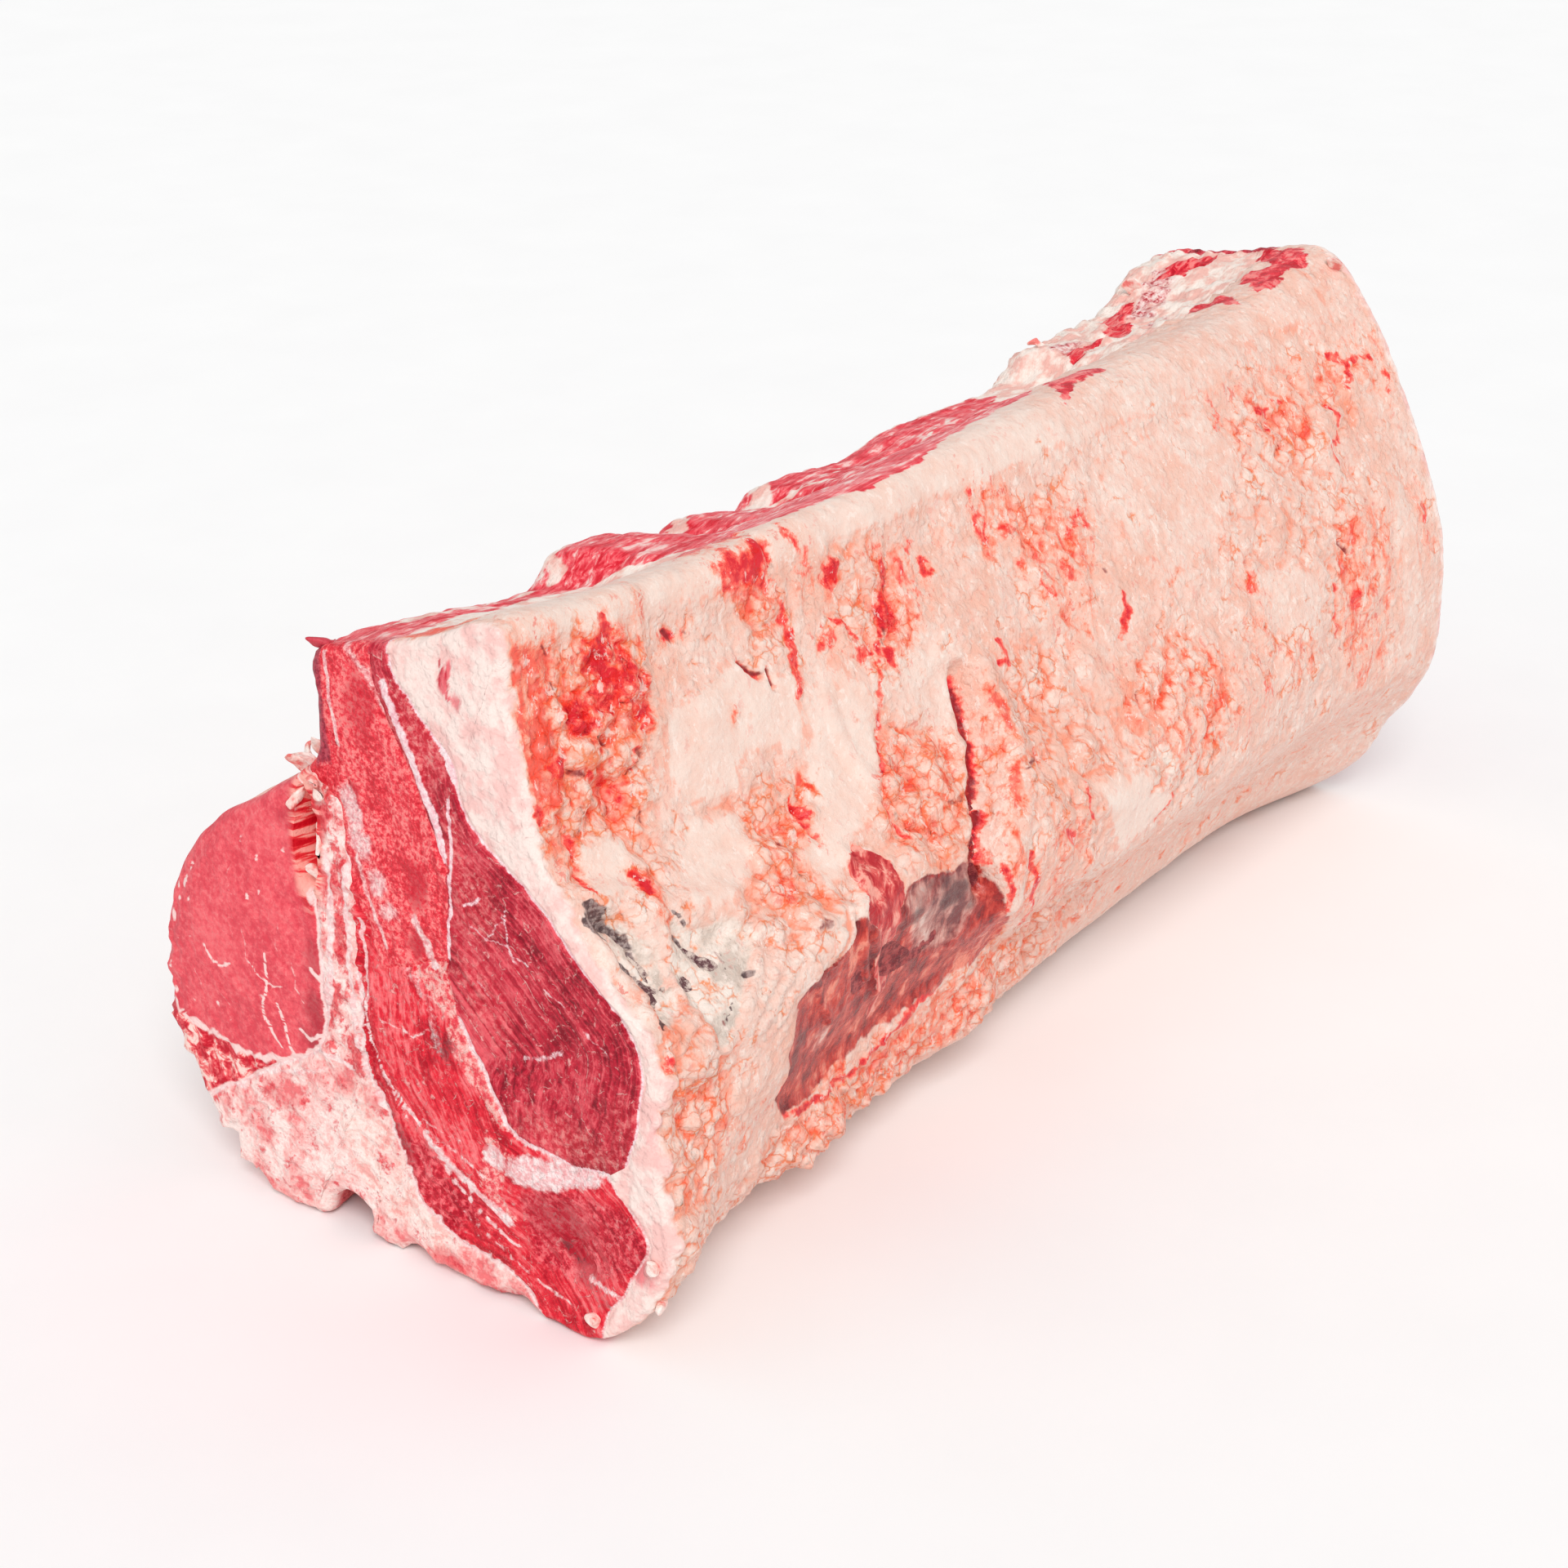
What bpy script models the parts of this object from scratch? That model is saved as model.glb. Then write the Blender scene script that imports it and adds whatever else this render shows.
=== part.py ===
"""Whole raw bone-in short loin of beef, standing on its sawn backbone.

Row frame: metres, +Z up. X runs along the loin, with the sirloin-end cut face
at -X and the rib end at +X. +Y is the tenderloin side, -Y the fat-covered side.
The origin is the bottom centre of the bounding box.

One closed loft gives the outside of the whole cut. Six prisms that follow the
seams between the tissues cut it into the separate pieces that show at the cut
face: tenderloin, bone plate, eye muscle, deep muscle, backbone and cover fat.
"""
import math

import bpy
import bmesh
from mathutils import Matrix, Vector, noise

MM = 0.001

# ---------------------------------------------------------------- main sizes
LENGTH = 439.0            # along the loin
HALF = LENGTH / 2.0
STATIONS = 41             # cross sections of the outside loft
SEAM_GAP = 0.3            # clearance left between neighbouring tissues
RING_STEP = 8.6           # spacing of the outline points round the section
CAP_RINGS = (0.93, 0.78, 0.56, 0.3)   # rings that dome the two cut faces
CAP_CENTRE = (-4.0, 92.0)             # y, z that both cut faces shrink towards

CREST_DIP = 10.0          # the crest of the fat lies this much lower mid-length
TUCK = 16.0               # the lower flank is drawn in this much mid-length
FAT_LUMP = 1.7            # height of the cover fat's soft lumps
LUMP_PITCH = 34.0         # their spacing
LUMP_SEED = 11.0

# -------------------------------------------- outline of the section, y and z
# Each landmark: y, z at the sirloin end, then y, z at the rib end.
OUTLINE = (
    ("crest",          -41.0, 204.3, -41.0, 206.0),
    ("cover_upper",    -43.2, 184.0, -62.0, 184.0),
    ("cover_shoulder", -49.0, 162.0, -76.0, 158.0),
    ("cover_waist",    -56.8, 134.0, -90.0, 127.0),
    ("eye_shoulder",   -74.5, 114.5, -96.0, 105.0),
    ("eye_bulge",      -91.5, 98.0,  -97.0, 84.0),
    ("eye_side",       -89.5, 77.0,  -96.0, 64.0),
    ("flank_dent",     -90.0, 64.0,  -90.0, 48.0),
    ("flank_bulge",    -95.5, 42.0,  -80.0, 33.0),
    ("flank_corner",   -90.0, 23.5,  -71.5, 17.0),
    ("heel",           -77.0, 7.0,   -59.0, 5.0),
    ("toe",            -64.0, 0.0,   -49.0, 0.0),
    ("sole_outer",     -42.0, 0.0,   -36.0, 0.0),
    ("sole_inner",     12.0,  0.0,   12.0,  0.0),
    ("canal_wall",     17.5,  9.5,   17.0,  9.0),
    ("canal_roof",     25.0,  13.0,  24.0,  12.0),
    ("canal_lip",      31.0,  8.5,   30.0,  8.0),
    ("chine_inner",    37.0,  0.0,   36.0,  0.0),
    ("chine_outer",    63.0,  0.0,   58.0,  0.0),
    ("chine_corner",   70.5,  7.0,   65.0,  9.0),
    ("chine_step",     80.0,  18.0,  68.0,  24.0),
    ("under_lobe",     85.5,  30.0,  66.0,  40.0),
    ("lobe_low",       94.0,  43.0,  64.0,  55.0),
    ("lobe_side",      96.0,  64.0,  62.0,  74.0),
    ("lobe_upper",     89.0,  89.5,  57.0,  97.0),
    ("lobe_shoulder",  72.5,  113.0, 50.0,  120.0),
    ("lobe_top",       49.0,  131.0, 42.0,  142.0),
    ("lobe_root",      33.5,  142.5, 35.0,  157.0),
    ("plate_foot",     25.0,  151.5, 30.0,  172.0),
    ("plate_side",     24.0,  167.0, 27.0,  184.0),
    ("plate_top",      22.0,  181.5, 21.0,  195.0),
    ("top_middle",     -8.0,  191.0, -10.0, 200.0),
)

# --------------------------- seams between the tissues, drawn the same way
# Points outside the outline only carry a seam clear of the surface.
PLATE_LEAN = ((6.0, 230.0, 12.0, 230.0), (3.0, 187.0, 9.0, 197.0),
              (0.0, 172.0, 10.0, 178.0), (-12.0, 150.0, 9.0, 158.0),
              (-21.5, 130.0, 5.0, 136.0))
PLATE_FOOT = ((-19.5, 102.0, 2.0, 116.0), (-7.0, 97.0, 5.0, 111.0),
              (4.0, 92.0, 9.0, 110.0))
PLATE_BACK = ((14.0, 116.0, 15.0, 114.0), (17.5, 130.0, 20.0, 134.0),
              (20.8, 141.0, 25.0, 152.0), (50.0, 160.0, 60.0, 178.0))
LOBE_SEAM = ((52.0, 149.0, 62.0, 165.0), (31.0, 141.0, 36.0, 150.0),
             (34.0, 129.0, 36.0, 134.0), (29.0, 107.0, 39.0, 112.0),
             (28.0, 82.0, 43.0, 90.0), (31.0, 60.0, 47.0, 72.0),
             (52.0, 45.0, 52.0, 56.0), (84.0, 24.0, 63.0, 42.0),
             (120.0, 5.0, 110.0, 28.0))
FASCIA = ((14.0, 88.0, 11.0, 92.0), (12.5, 62.0, 7.0, 70.0),
          (5.0, 46.0, -2.0, 50.0), (-3.0, 26.0, -14.0, 32.0),
          (-18.0, 14.5, -22.0, 14.0), (-44.0, 8.0, -28.0, 6.0),
          (-58.0, -25.0, -38.0, -25.0))
EYE_DEEP = ((-22.5, 86.0, -2.0, 96.0), (-33.0, 69.5, -8.0, 76.0),
            (-40.0, 57.5, -18.0, 58.0), (-58.0, 54.0, -36.0, 44.0),
            (-74.0, 56.0, -60.0, 38.0))
COVER_LEAN = ((-26.0, 230.0, -22.0, 230.0), (-26.0, 190.0, -24.0, 202.0),
              (-27.0, 176.0, -38.0, 186.0), (-28.0, 163.0, -54.0, 168.0),
              (-28.0, 150.0, -65.0, 152.0), (-39.0, 139.0, -74.0, 137.0),
              (-52.0, 130.0, -81.0, 121.0), (-66.0, 116.0, -85.0, 106.0),
              (-80.0, 103.5, -87.0, 93.0), (-86.0, 92.0, -87.0, 79.0),
              (-84.5, 74.0, -83.5, 62.0), (-80.0, 61.0, -73.0, 46.0))
COVER_DEEP = ((-81.0, 48.0, -60.0, 25.0), (-87.0, 39.0, -55.0, 14.0),
              (-80.0, 22.0, -50.0, 5.0), (-72.0, 8.0, -46.0, -3.0),
              (-68.0, -25.0, -44.0, -25.0))
SEAM_STATIONS = 17
FACE_PULL = 22.0          # how far the fat band's seam moves in at the face
PLATE_PUSH = 11.0         # how far the lean covers the plate's edge

# named lumps and hollows of the fat side: x, z, half sizes in x and z, height
RELIEF = (
    ("stained_lump",   -182.0, 174.0, 20.0, 17.0, 2.6),
    ("lump_hollow",    -190.0, 149.0, 11.0, 8.0, -3.6),
    ("membrane_dish",  -188.0, 106.0, 24.0, 17.0, -3.0),
    ("patch_dish",     -110.0, 73.0, 44.0, 21.0, -4.0),
    ("rolled_fold",    -42.0, 110.0, 11.0, 30.0, 4.0),
    ("ridge_near",     -132.0, 20.0, 13.0, 17.0, 7.0),
    ("ridge_mid",      -48.0, 22.0, 17.0, 16.0, 5.0),
    ("far_dent",       150.0, 92.0, 30.0, 26.0, -2.0),
    ("far_swell",      70.0, 120.0, 60.0, 40.0, 2.5),
)
# ends of the finger bones that lift the back edge of the top: x where each
# starts, is full, starts to fall and ends, and its rise
FINGER_ENDS = (
    (-137.0, -124.0, -112.0, -80.0, 8.5),
    (-84.0, -70.0, -66.0, -40.0, 4.0),
    (-42.0, -32.0, -22.0, 10.0, 5.0),
    (10.0, 34.0, 44.0, 100.0, 2.0),
    (104.0, 118.0, 160.0, 190.0, 8.0),
)
# domes and dishes of the sirloin-end face: y, z, radius, rise out of the face
FACE_RELIEF = (
    ("tenderloin_dome", 60.0, 86.0, 30.0, 3.0),
    ("eye_dish",       -54.0, 94.0, 24.0, -2.0),
    ("eye_rim",        -74.0, 78.0, 12.0, 1.5),
    ("deep_swell",     -4.0, 66.0, 20.0, 1.8),
    ("flank_dish",     -62.0, 30.0, 14.0, -2.2),
    ("chine_swell",    48.0, 24.0, 22.0, 1.5),
    ("cover_swell",    -38.0, 168.0, 18.0, 1.2),
    ("plate_dish",     2.0, 140.0, 14.0, -1.2),
)
# pocket between tenderloin and bone at the face: y, z, half width, half
# height, depth
POCKET = (31.5, 123.0, 3.4, 17.0, 26.0)
# deep crease beside the rolled fold: x, z down its length, then its section
CREASE = ((-46.0, 141.0), (-48.0, 131.0), (-51.0, 122.0), (-58.0, 113.0),
          (-65.0, 104.0), (-69.0, 94.0), (-66.0, 83.0))
CREASE_DEPTH = 6.0
CREASE_WIDTH = 4.6


# ------------------------------------------------------------------ shape laws
def smooth(value, low, high):
    """0 at low, 1 at high, eased at both ends."""
    k = min(1.0, max(0.0, (value - low) / (high - low)))
    return k * k * (3.0 - 2.0 * k)


def bell(value, centre, half):
    return math.exp(-((value - centre) / half) ** 2)


def blend(near_far, x):
    """y, z of a point of the section at x, before the warp."""
    y0, z0, y1, z1 = near_far
    k = 0.5 * smooth(x, -HALF, HALF) + 0.5 * (x + HALF) / LENGTH
    return y0 + (y1 - y0) * k, z0 + (z1 - z0) * k


def crest_rise(x):
    """The crest sags from the sirloin end and climbs again at the rib end."""
    near_end = bell(x, -HALF - 15.0, 62.0)
    far_end = bell(x, HALF + 6.0, 46.0)
    return -CREST_DIP * (1.0 - near_end) * (1.0 - far_end)


def back_rise(x):
    """The back edge of the top is low behind the face, high over the ribs."""
    rise = -12.0 * smooth(x, -216.0, -130.0)
    rise -= 7.0 * smooth(x, -130.0, -20.0)
    rise -= 2.0 * smooth(x, 40.0, 110.0)
    rise += 20.0 * smooth(x, 158.0, 202.0)
    for start, full, fall, end, height in FINGER_ENDS:
        rise += height * smooth(x, start, full) * (1.0 - smooth(x, fall, end))
    return rise


def tuck_in(x):
    """How far the lower flank is drawn in."""
    near_end = bell(x, -HALF - 6.0, 44.0)
    far_end = bell(x, HALF + 10.0, 52.0)
    return TUCK * (1.0 - near_end) * (1.0 - far_end)


def warp(x, y, z):
    """Carries a point of the plain section to its place at x."""
    low = smooth(-z, -72.0, -38.0) * smooth(-y, 22.0, 52.0)
    high = smooth(z, 140.0, 185.0)
    front = smooth(-y, -6.0, 30.0)
    y += tuck_in(x) * low
    z += high * (front * crest_rise(x) + (1.0 - front) * back_rise(x))
    return y, z


def spline(p0, p1, p2, p3, k):
    """Catmull-Rom value between p1 and p2."""
    return 0.5 * (2.0 * p1 + (p2 - p0) * k
                  + (2.0 * p0 - 5.0 * p1 + 4.0 * p2 - p3) * k * k
                  + (3.0 * p1 - p0 - 3.0 * p2 + p3) * k ** 3)


def outline_counts():
    """Number of steps between one landmark and the next."""
    counts = []
    for i, mark in enumerate(OUTLINE):
        nxt = OUTLINE[(i + 1) % len(OUTLINE)]
        gap = math.hypot(nxt[1] - mark[1], nxt[2] - mark[2])
        counts.append(max(1, round(gap / RING_STEP)))
    return counts


def outline_ring(x, counts):
    """The outline of the section at x as a list of (y, z)."""
    marks = [blend(mark[1:], x) for mark in OUTLINE]
    n = len(marks)
    ring = []
    for i, steps in enumerate(counts):
        quad = [marks[(i + j) % n] for j in (-1, 0, 1, 2)]
        for s in range(steps):
            k = s / steps
            y = spline(*[q[0] for q in quad], k)
            z = max(0.0, spline(*[q[1] for q in quad], k))
            ring.append(warp(x, y, z))
    return ring


def side_relief(x, y, z):
    """Height of the cover fat's lumps, folds and hollows, outwards."""
    fat_side = smooth(-y, 20.0, 44.0) * smooth(z, 4.0, 26.0)
    height = 0.0
    for _, cx, cz, hx, hz, rise in RELIEF:
        height += rise * bell(x, cx, hx) * bell(z, cz, hz)
    place = Vector((x, y, z)) / LUMP_PITCH
    place.z += LUMP_SEED
    height += FAT_LUMP * noise.noise(place)
    height += 0.5 * FAT_LUMP * noise.noise(place * 2.3)
    return height * fat_side


def back_relief(x, y, z):
    """Soft lobes of the hidden side, under the same thin fat."""
    place = Vector((x / 48.0, y / 40.0, z / 40.0 + 2.0 * LUMP_SEED))
    return 2.2 * noise.noise(place) * smooth(y, 28.0, 50.0) * smooth(z, 14.0, 40.0)


def swell_ring(x, ring):
    """Pushes a ring of the loft outwards by its relief."""
    n = len(ring)
    fade = smooth(x, -HALF, -HALF + 14.0) * smooth(-x, -HALF, -HALF + 10.0)
    out = []
    for i, (y, z) in enumerate(ring):
        before, after = ring[i - 1], ring[(i + 1) % n]
        ty, tz = after[0] - before[0], after[1] - before[1]
        size = math.hypot(ty, tz)
        rise = fade * (side_relief(x, y, z) + back_relief(x, y, z))
        out.append((y - tz / size * rise * SPIN, max(0.0, z + ty / size * rise * SPIN)))
    return out


def face_relief(y, z):
    """How far the sirloin-end face stands out at y, z."""
    rise = 0.0
    for _, cy, cz, radius, height in FACE_RELIEF:
        rise += height * math.exp(-((y - cy) ** 2 + (z - cz) ** 2) / radius ** 2)
    return rise


# The landmarks run down the -Y side first, so outward is to the right of travel.
SPIN = -1.0


# -------------------------------------------------------------------- meshing
def make_object(name, bm, home):
    mesh = bpy.data.meshes.new(name)
    bmesh.ops.recalc_face_normals(bm, faces=bm.faces)
    bm.to_mesh(mesh)
    bm.free()
    obj = bpy.data.objects.new(name, mesh)
    home.objects.link(obj)
    return obj


def add_ring(bm, x_of, ring):
    return [bm.verts.new(Vector((x_of(y, z), y, z)) * MM) for y, z in ring]


def join_rings(bm, first, second):
    n = len(first)
    for i in range(n):
        j = (i + 1) % n
        bm.faces.new((first[i], first[j], second[j], second[i]))


def join_walls(bm, first, second):
    """As join_rings, with the diagonal that a neighbour's wall also takes."""
    n = len(first)
    for i in range(n):
        j = (i + 1) % n
        a, b, c, d = first[i], first[j], second[j], second[i]
        if a.co.z + 0.37 * a.co.y < b.co.z + 0.37 * b.co.y:
            bm.faces.new((a, b, c))
            bm.faces.new((a, c, d))
        else:
            bm.faces.new((a, b, d))
            bm.faces.new((b, c, d))


def close_cap(bm, rim, ring, x_face, relief):
    """Domed cap: rings that shrink to the centre, then a fan."""
    cy, cz = CAP_CENTRE
    last = rim
    for scale in CAP_RINGS:
        inner = [(cy + (y - cy) * scale, cz + (z - cz) * scale) for y, z in ring]
        verts = add_ring(bm, lambda y, z: x_face - relief(y, z), inner)
        join_rings(bm, last, verts)
        last = verts
    middle = bm.verts.new(Vector((x_face - relief(cy, cz), cy, cz)) * MM)
    for i in range(len(last)):
        bm.faces.new((last[i], last[(i + 1) % len(last)], middle))


def build_body(home):
    """The outside of the whole cut as one closed loft along X."""
    bm = bmesh.new()
    counts = outline_counts()
    rims = []
    for s in range(STATIONS):
        x = -HALF + LENGTH * s / (STATIONS - 1)
        ring = swell_ring(x, outline_ring(x, counts))
        verts = add_ring(bm, lambda y, z: x, ring)
        if rims:
            join_rings(bm, rims[-1][0], verts)
        rims.append((verts, ring))
    close_cap(bm, rims[0][0], rims[0][1], -HALF, face_relief)
    close_cap(bm, rims[-1][0], rims[-1][1], HALF, lambda y, z: 0.0)
    return make_object("whole_cut", bm, home)


def seam(points, x):
    """A seam at x as a list of (y, z)."""
    return [warp(x, *blend(p, x)) for p in points]


def cover_lean(x):
    """Behind the face the lean comes up to the top beside the fat band."""
    pull = FACE_PULL * (1.0 - smooth(x, -HALF, -HALF + 34.0))
    return [(y + pull * smooth(z, 156.0, 186.0), z) for y, z in seam(COVER_LEAN, x)]


def plate_lean(x):
    """Behind the face the lean lies over the edge of the bone plate."""
    push = PLATE_PUSH * smooth(x, -HALF + 14.0, -HALF + 46.0)
    push *= 1.0 - 0.7 * smooth(x, 110.0, 160.0)
    return [(y + push * smooth(z, 150.0, 172.0), z) for y, z in seam(PLATE_LEAN, x)]


def inset(polygon, distance):
    """Moves every side of a closed polygon inwards by distance."""
    n = len(polygon)
    area = sum(polygon[i][0] * polygon[(i + 1) % n][1]
               - polygon[(i + 1) % n][0] * polygon[i][1] for i in range(n))
    side = 1.0 if area > 0.0 else -1.0
    out = []
    for i in range(n):
        a, b, c = polygon[i - 1], polygon[i], polygon[(i + 1) % n]
        u = Vector((b[0] - a[0], b[1] - a[1])).normalized()
        v = Vector((c[0] - b[0], c[1] - b[1])).normalized()
        nu = Vector((-u.y, u.x)) * side
        nv = Vector((-v.y, v.x)) * side
        push = (nu + nv) / max(0.4, 1.0 + nu.dot(nv))
        out.append((b[0] + push.x * distance, b[1] + push.y * distance))
    return out


def build_prism(name, outline_of, home):
    """A tissue's prism, longer than the loin, from its polygon at each x."""
    bm = bmesh.new()
    last = None
    span = LENGTH + 30.0
    for s in range(SEAM_STATIONS):
        x = -span / 2.0 + span * s / (SEAM_STATIONS - 1)
        ring = inset(outline_of(max(-HALF, min(HALF, x))), SEAM_GAP / 2.0)
        verts = add_ring(bm, lambda y, z: x, ring)
        if last:
            join_walls(bm, last, verts)
        else:
            bm.faces.new(verts)
        last = verts
    bm.faces.new(list(reversed(last)))
    return make_object(name, bm, home)


def build_pocket(home):
    """Tapering slot that opens in the sirloin-end face."""
    cy, cz, half_y, half_z, depth = POCKET
    bm = bmesh.new()
    bmesh.ops.create_cone(bm, cap_ends=True, segments=14, radius1=1.15,
                          radius2=0.35, depth=1.0)
    for vert in bm.verts:
        across, up, along = vert.co
        vert.co = Vector((-HALF - 6.0 + (along + 0.5) * (depth + 6.0),
                          cy + across * half_y - 2.0 * along,
                          cz + up * half_z + 3.0 * along)) * MM
    return make_object("pocket_cutter", bm, home)


def flank_y(x, z, counts):
    """y of the fat side at x, z."""
    ring = swell_ring(x, outline_ring(x, counts))
    for (y0, z0), (y1, z1) in zip(ring, ring[1:]):
        if z1 <= z < z0:
            return y0 + (y1 - y0) * (z0 - z) / (z0 - z1)
    raise ValueError("no fat side at this height")


def build_crease(home):
    """Curved wedge that opens the deep crease in the fat side."""
    bm = bmesh.new()
    counts = outline_counts()
    last = None
    count = len(CREASE)
    for i, (x, z) in enumerate(CREASE):
        before, after = CREASE[max(0, i - 1)], CREASE[min(count - 1, i + 1)]
        run = Vector((after[0] - before[0], 0.0, after[1] - before[1])).normalized()
        across = run.cross(Vector((0.0, 1.0, 0.0)))
        full = math.sin(math.pi * (i + 0.6) / (count + 0.2))
        skin = Vector((x, flank_y(x, z, counts), z))
        ring = []
        for half, depth in ((1.3, -4.0), (0.5, 0.0), (0.12, 1.0), (-0.12, 1.0),
                            (-0.5, 0.0), (-1.3, -4.0)):
            sink = depth * CREASE_DEPTH * full if depth > 0.0 else depth
            ring.append(skin + across * half * CREASE_WIDTH * full
                        + Vector((0.0, sink, 0.0)))
        verts = [bm.verts.new(point * MM) for point in ring]
        if last:
            join_rings(bm, last, verts)
        else:
            bm.faces.new(verts)
        last = verts
    bm.faces.new(list(reversed(last)))
    return make_object("crease_cutter", bm, home)


def cut(target, tool, operation):
    """Applies one Boolean to target."""
    mod = target.modifiers.new(operation.lower(), "BOOLEAN")
    mod.operation = operation
    mod.object = tool
    mod.solver = "EXACT"
    bpy.context.view_layer.update()
    evaluated = target.evaluated_get(bpy.context.evaluated_depsgraph_get())
    mesh = bpy.data.meshes.new_from_object(evaluated)
    target.modifiers.clear()
    old = target.data
    target.data = mesh
    bpy.data.meshes.remove(old)


def tidy(obj):
    """Melts slivers that a Boolean leaves, and keeps the largest body."""
    bm = bmesh.new()
    bm.from_mesh(obj.data)
    bmesh.ops.remove_doubles(bm, verts=bm.verts, dist=0.00005)
    bmesh.ops.dissolve_degenerate(bm, edges=bm.edges, dist=0.00005)
    bmesh.ops.triangulate(bm, faces=bm.faces)
    seen, bodies = set(), []
    for seed in bm.verts:
        if seed in seen:
            continue
        body, stack = [], [seed]
        seen.add(seed)
        while stack:
            vert = stack.pop()
            body.append(vert)
            for edge in vert.link_edges:
                other = edge.other_vert(vert)
                if other not in seen:
                    seen.add(other)
                    stack.append(other)
        bodies.append(body)
    bodies.sort(key=len)
    for body in bodies[:-1]:
        bmesh.ops.delete(bm, geom=body, context="VERTS")
    bm.to_mesh(obj.data)
    bm.free()


def settle(nodes):
    """Puts the bottom centre of the nodes' bounding box on the origin."""
    points = [vert.co for node in nodes for vert in node.data.vertices]
    low = [min(point[axis] for point in points) for axis in range(3)]
    high = [max(point[axis] for point in points) for axis in range(3)]
    shift = Vector((-(low[0] + high[0]) / 2.0, -(low[1] + high[1]) / 2.0, -low[2]))
    for node in nodes:
        node.data.transform(Matrix.Translation(shift))


def material(name, colour, roughness):
    mat = bpy.data.materials.new(name)
    mat.use_nodes = True
    shader = mat.node_tree.nodes["Principled BSDF"]
    shader.inputs["Base Color"].default_value = (*colour, 1.0)
    shader.inputs["Roughness"].default_value = roughness
    shader.inputs["Metallic"].default_value = 0.0
    mat.diffuse_color = (*colour, 1.0)
    return mat


# ------------------------------------------------------- each tissue's prism
def tenderloin_section(x):
    return seam(LOBE_SEAM, x) + [(170.0, 20.0), (170.0, 190.0)]


def plate_section(x):
    return (plate_lean(x) + seam(PLATE_FOOT, x) + seam(PLATE_BACK, x)
            + [(90.0, 200.0), (90.0, 250.0)])


def eye_section(x):
    return (plate_lean(x) + seam(PLATE_FOOT[:1], x) + seam(EYE_DEEP, x)
            + list(reversed(cover_lean(x))))


def deep_section(x):
    return (seam(EYE_DEEP, x) + seam(COVER_DEEP, x)
            + list(reversed(seam(FASCIA, x)))
            + list(reversed(seam(PLATE_FOOT + PLATE_BACK[:1], x))))


def backbone_section(x):
    return (seam(PLATE_BACK, x) + seam(LOBE_SEAM, x)
            + [(120.0, -40.0)] + list(reversed(seam(FASCIA, x))))


def cover_section(x):
    return (cover_lean(x) + seam(EYE_DEEP[-1:], x) + seam(COVER_DEEP, x)
            + [(-170.0, -40.0), (-170.0, 250.0)])


TISSUES = (
    ("tenderloin", tenderloin_section, (0.60, 0.10, 0.12), 0.42),
    ("bone_plate", plate_section, (0.56, 0.09, 0.10), 0.60),
    ("eye_muscle", eye_section, (0.40, 0.03, 0.06), 0.40),
    ("deep_muscle", deep_section, (0.55, 0.06, 0.08), 0.42),
    ("backbone", backbone_section, (0.85, 0.56, 0.52), 0.55),
    ("cover_fat", cover_section, (0.90, 0.72, 0.60), 0.50),
)


def main():
    for obj in list(bpy.data.objects):
        bpy.data.objects.remove(obj, do_unlink=True)
    scene = bpy.context.scene
    part = bpy.data.collections.new("short_loin")
    cutters = bpy.data.collections.new("cutters")
    scene.collection.children.link(part)
    scene.collection.children.link(cutters)

    body = build_body(cutters)
    cut(body, build_pocket(cutters), "DIFFERENCE")
    cut(body, build_crease(cutters), "DIFFERENCE")
    for name, section, colour, roughness in TISSUES:
        prism = build_prism(name + "_region", section, cutters)
        node = bpy.data.objects.new(name, body.data.copy())
        part.objects.link(node)
        cut(node, prism, "INTERSECT")
        tidy(node)
        node.data.name = name
        node.data.materials.clear()
        node.data.materials.append(material(name, colour, roughness))
        for poly in node.data.polygons:
            poly.use_smooth = True
            poly.material_index = 0
        node.data.set_sharp_from_angle(angle=math.radians(38.0))
    settle(part.objects)
    for tool in cutters.objects:
        tool.hide_render = True
        tool.display_type = "WIRE"
    cutters.hide_render = True


main()
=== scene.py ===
import math

import bmesh
import bpy
import numpy as np
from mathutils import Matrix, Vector


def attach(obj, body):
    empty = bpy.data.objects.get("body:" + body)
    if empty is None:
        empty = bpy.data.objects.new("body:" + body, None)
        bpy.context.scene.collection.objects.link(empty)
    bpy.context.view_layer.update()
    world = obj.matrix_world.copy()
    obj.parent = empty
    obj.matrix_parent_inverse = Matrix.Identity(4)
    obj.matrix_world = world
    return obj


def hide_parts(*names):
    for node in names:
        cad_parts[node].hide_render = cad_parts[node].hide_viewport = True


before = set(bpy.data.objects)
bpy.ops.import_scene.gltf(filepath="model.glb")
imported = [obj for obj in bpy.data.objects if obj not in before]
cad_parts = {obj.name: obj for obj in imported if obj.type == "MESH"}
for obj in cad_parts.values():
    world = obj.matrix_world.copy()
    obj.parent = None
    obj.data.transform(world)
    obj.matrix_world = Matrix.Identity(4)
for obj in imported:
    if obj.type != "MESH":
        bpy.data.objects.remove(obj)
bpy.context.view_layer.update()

# ======================================================= the whole loin, uncut
# One slab of beef: fat cover, lean, backbone and finger bones, sawn square at both
# ends. A fine net of cross sections, with the lumps and clefts of the real one,
# makes its skin, and the knife then parts it along the seams of its tissues.

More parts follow.
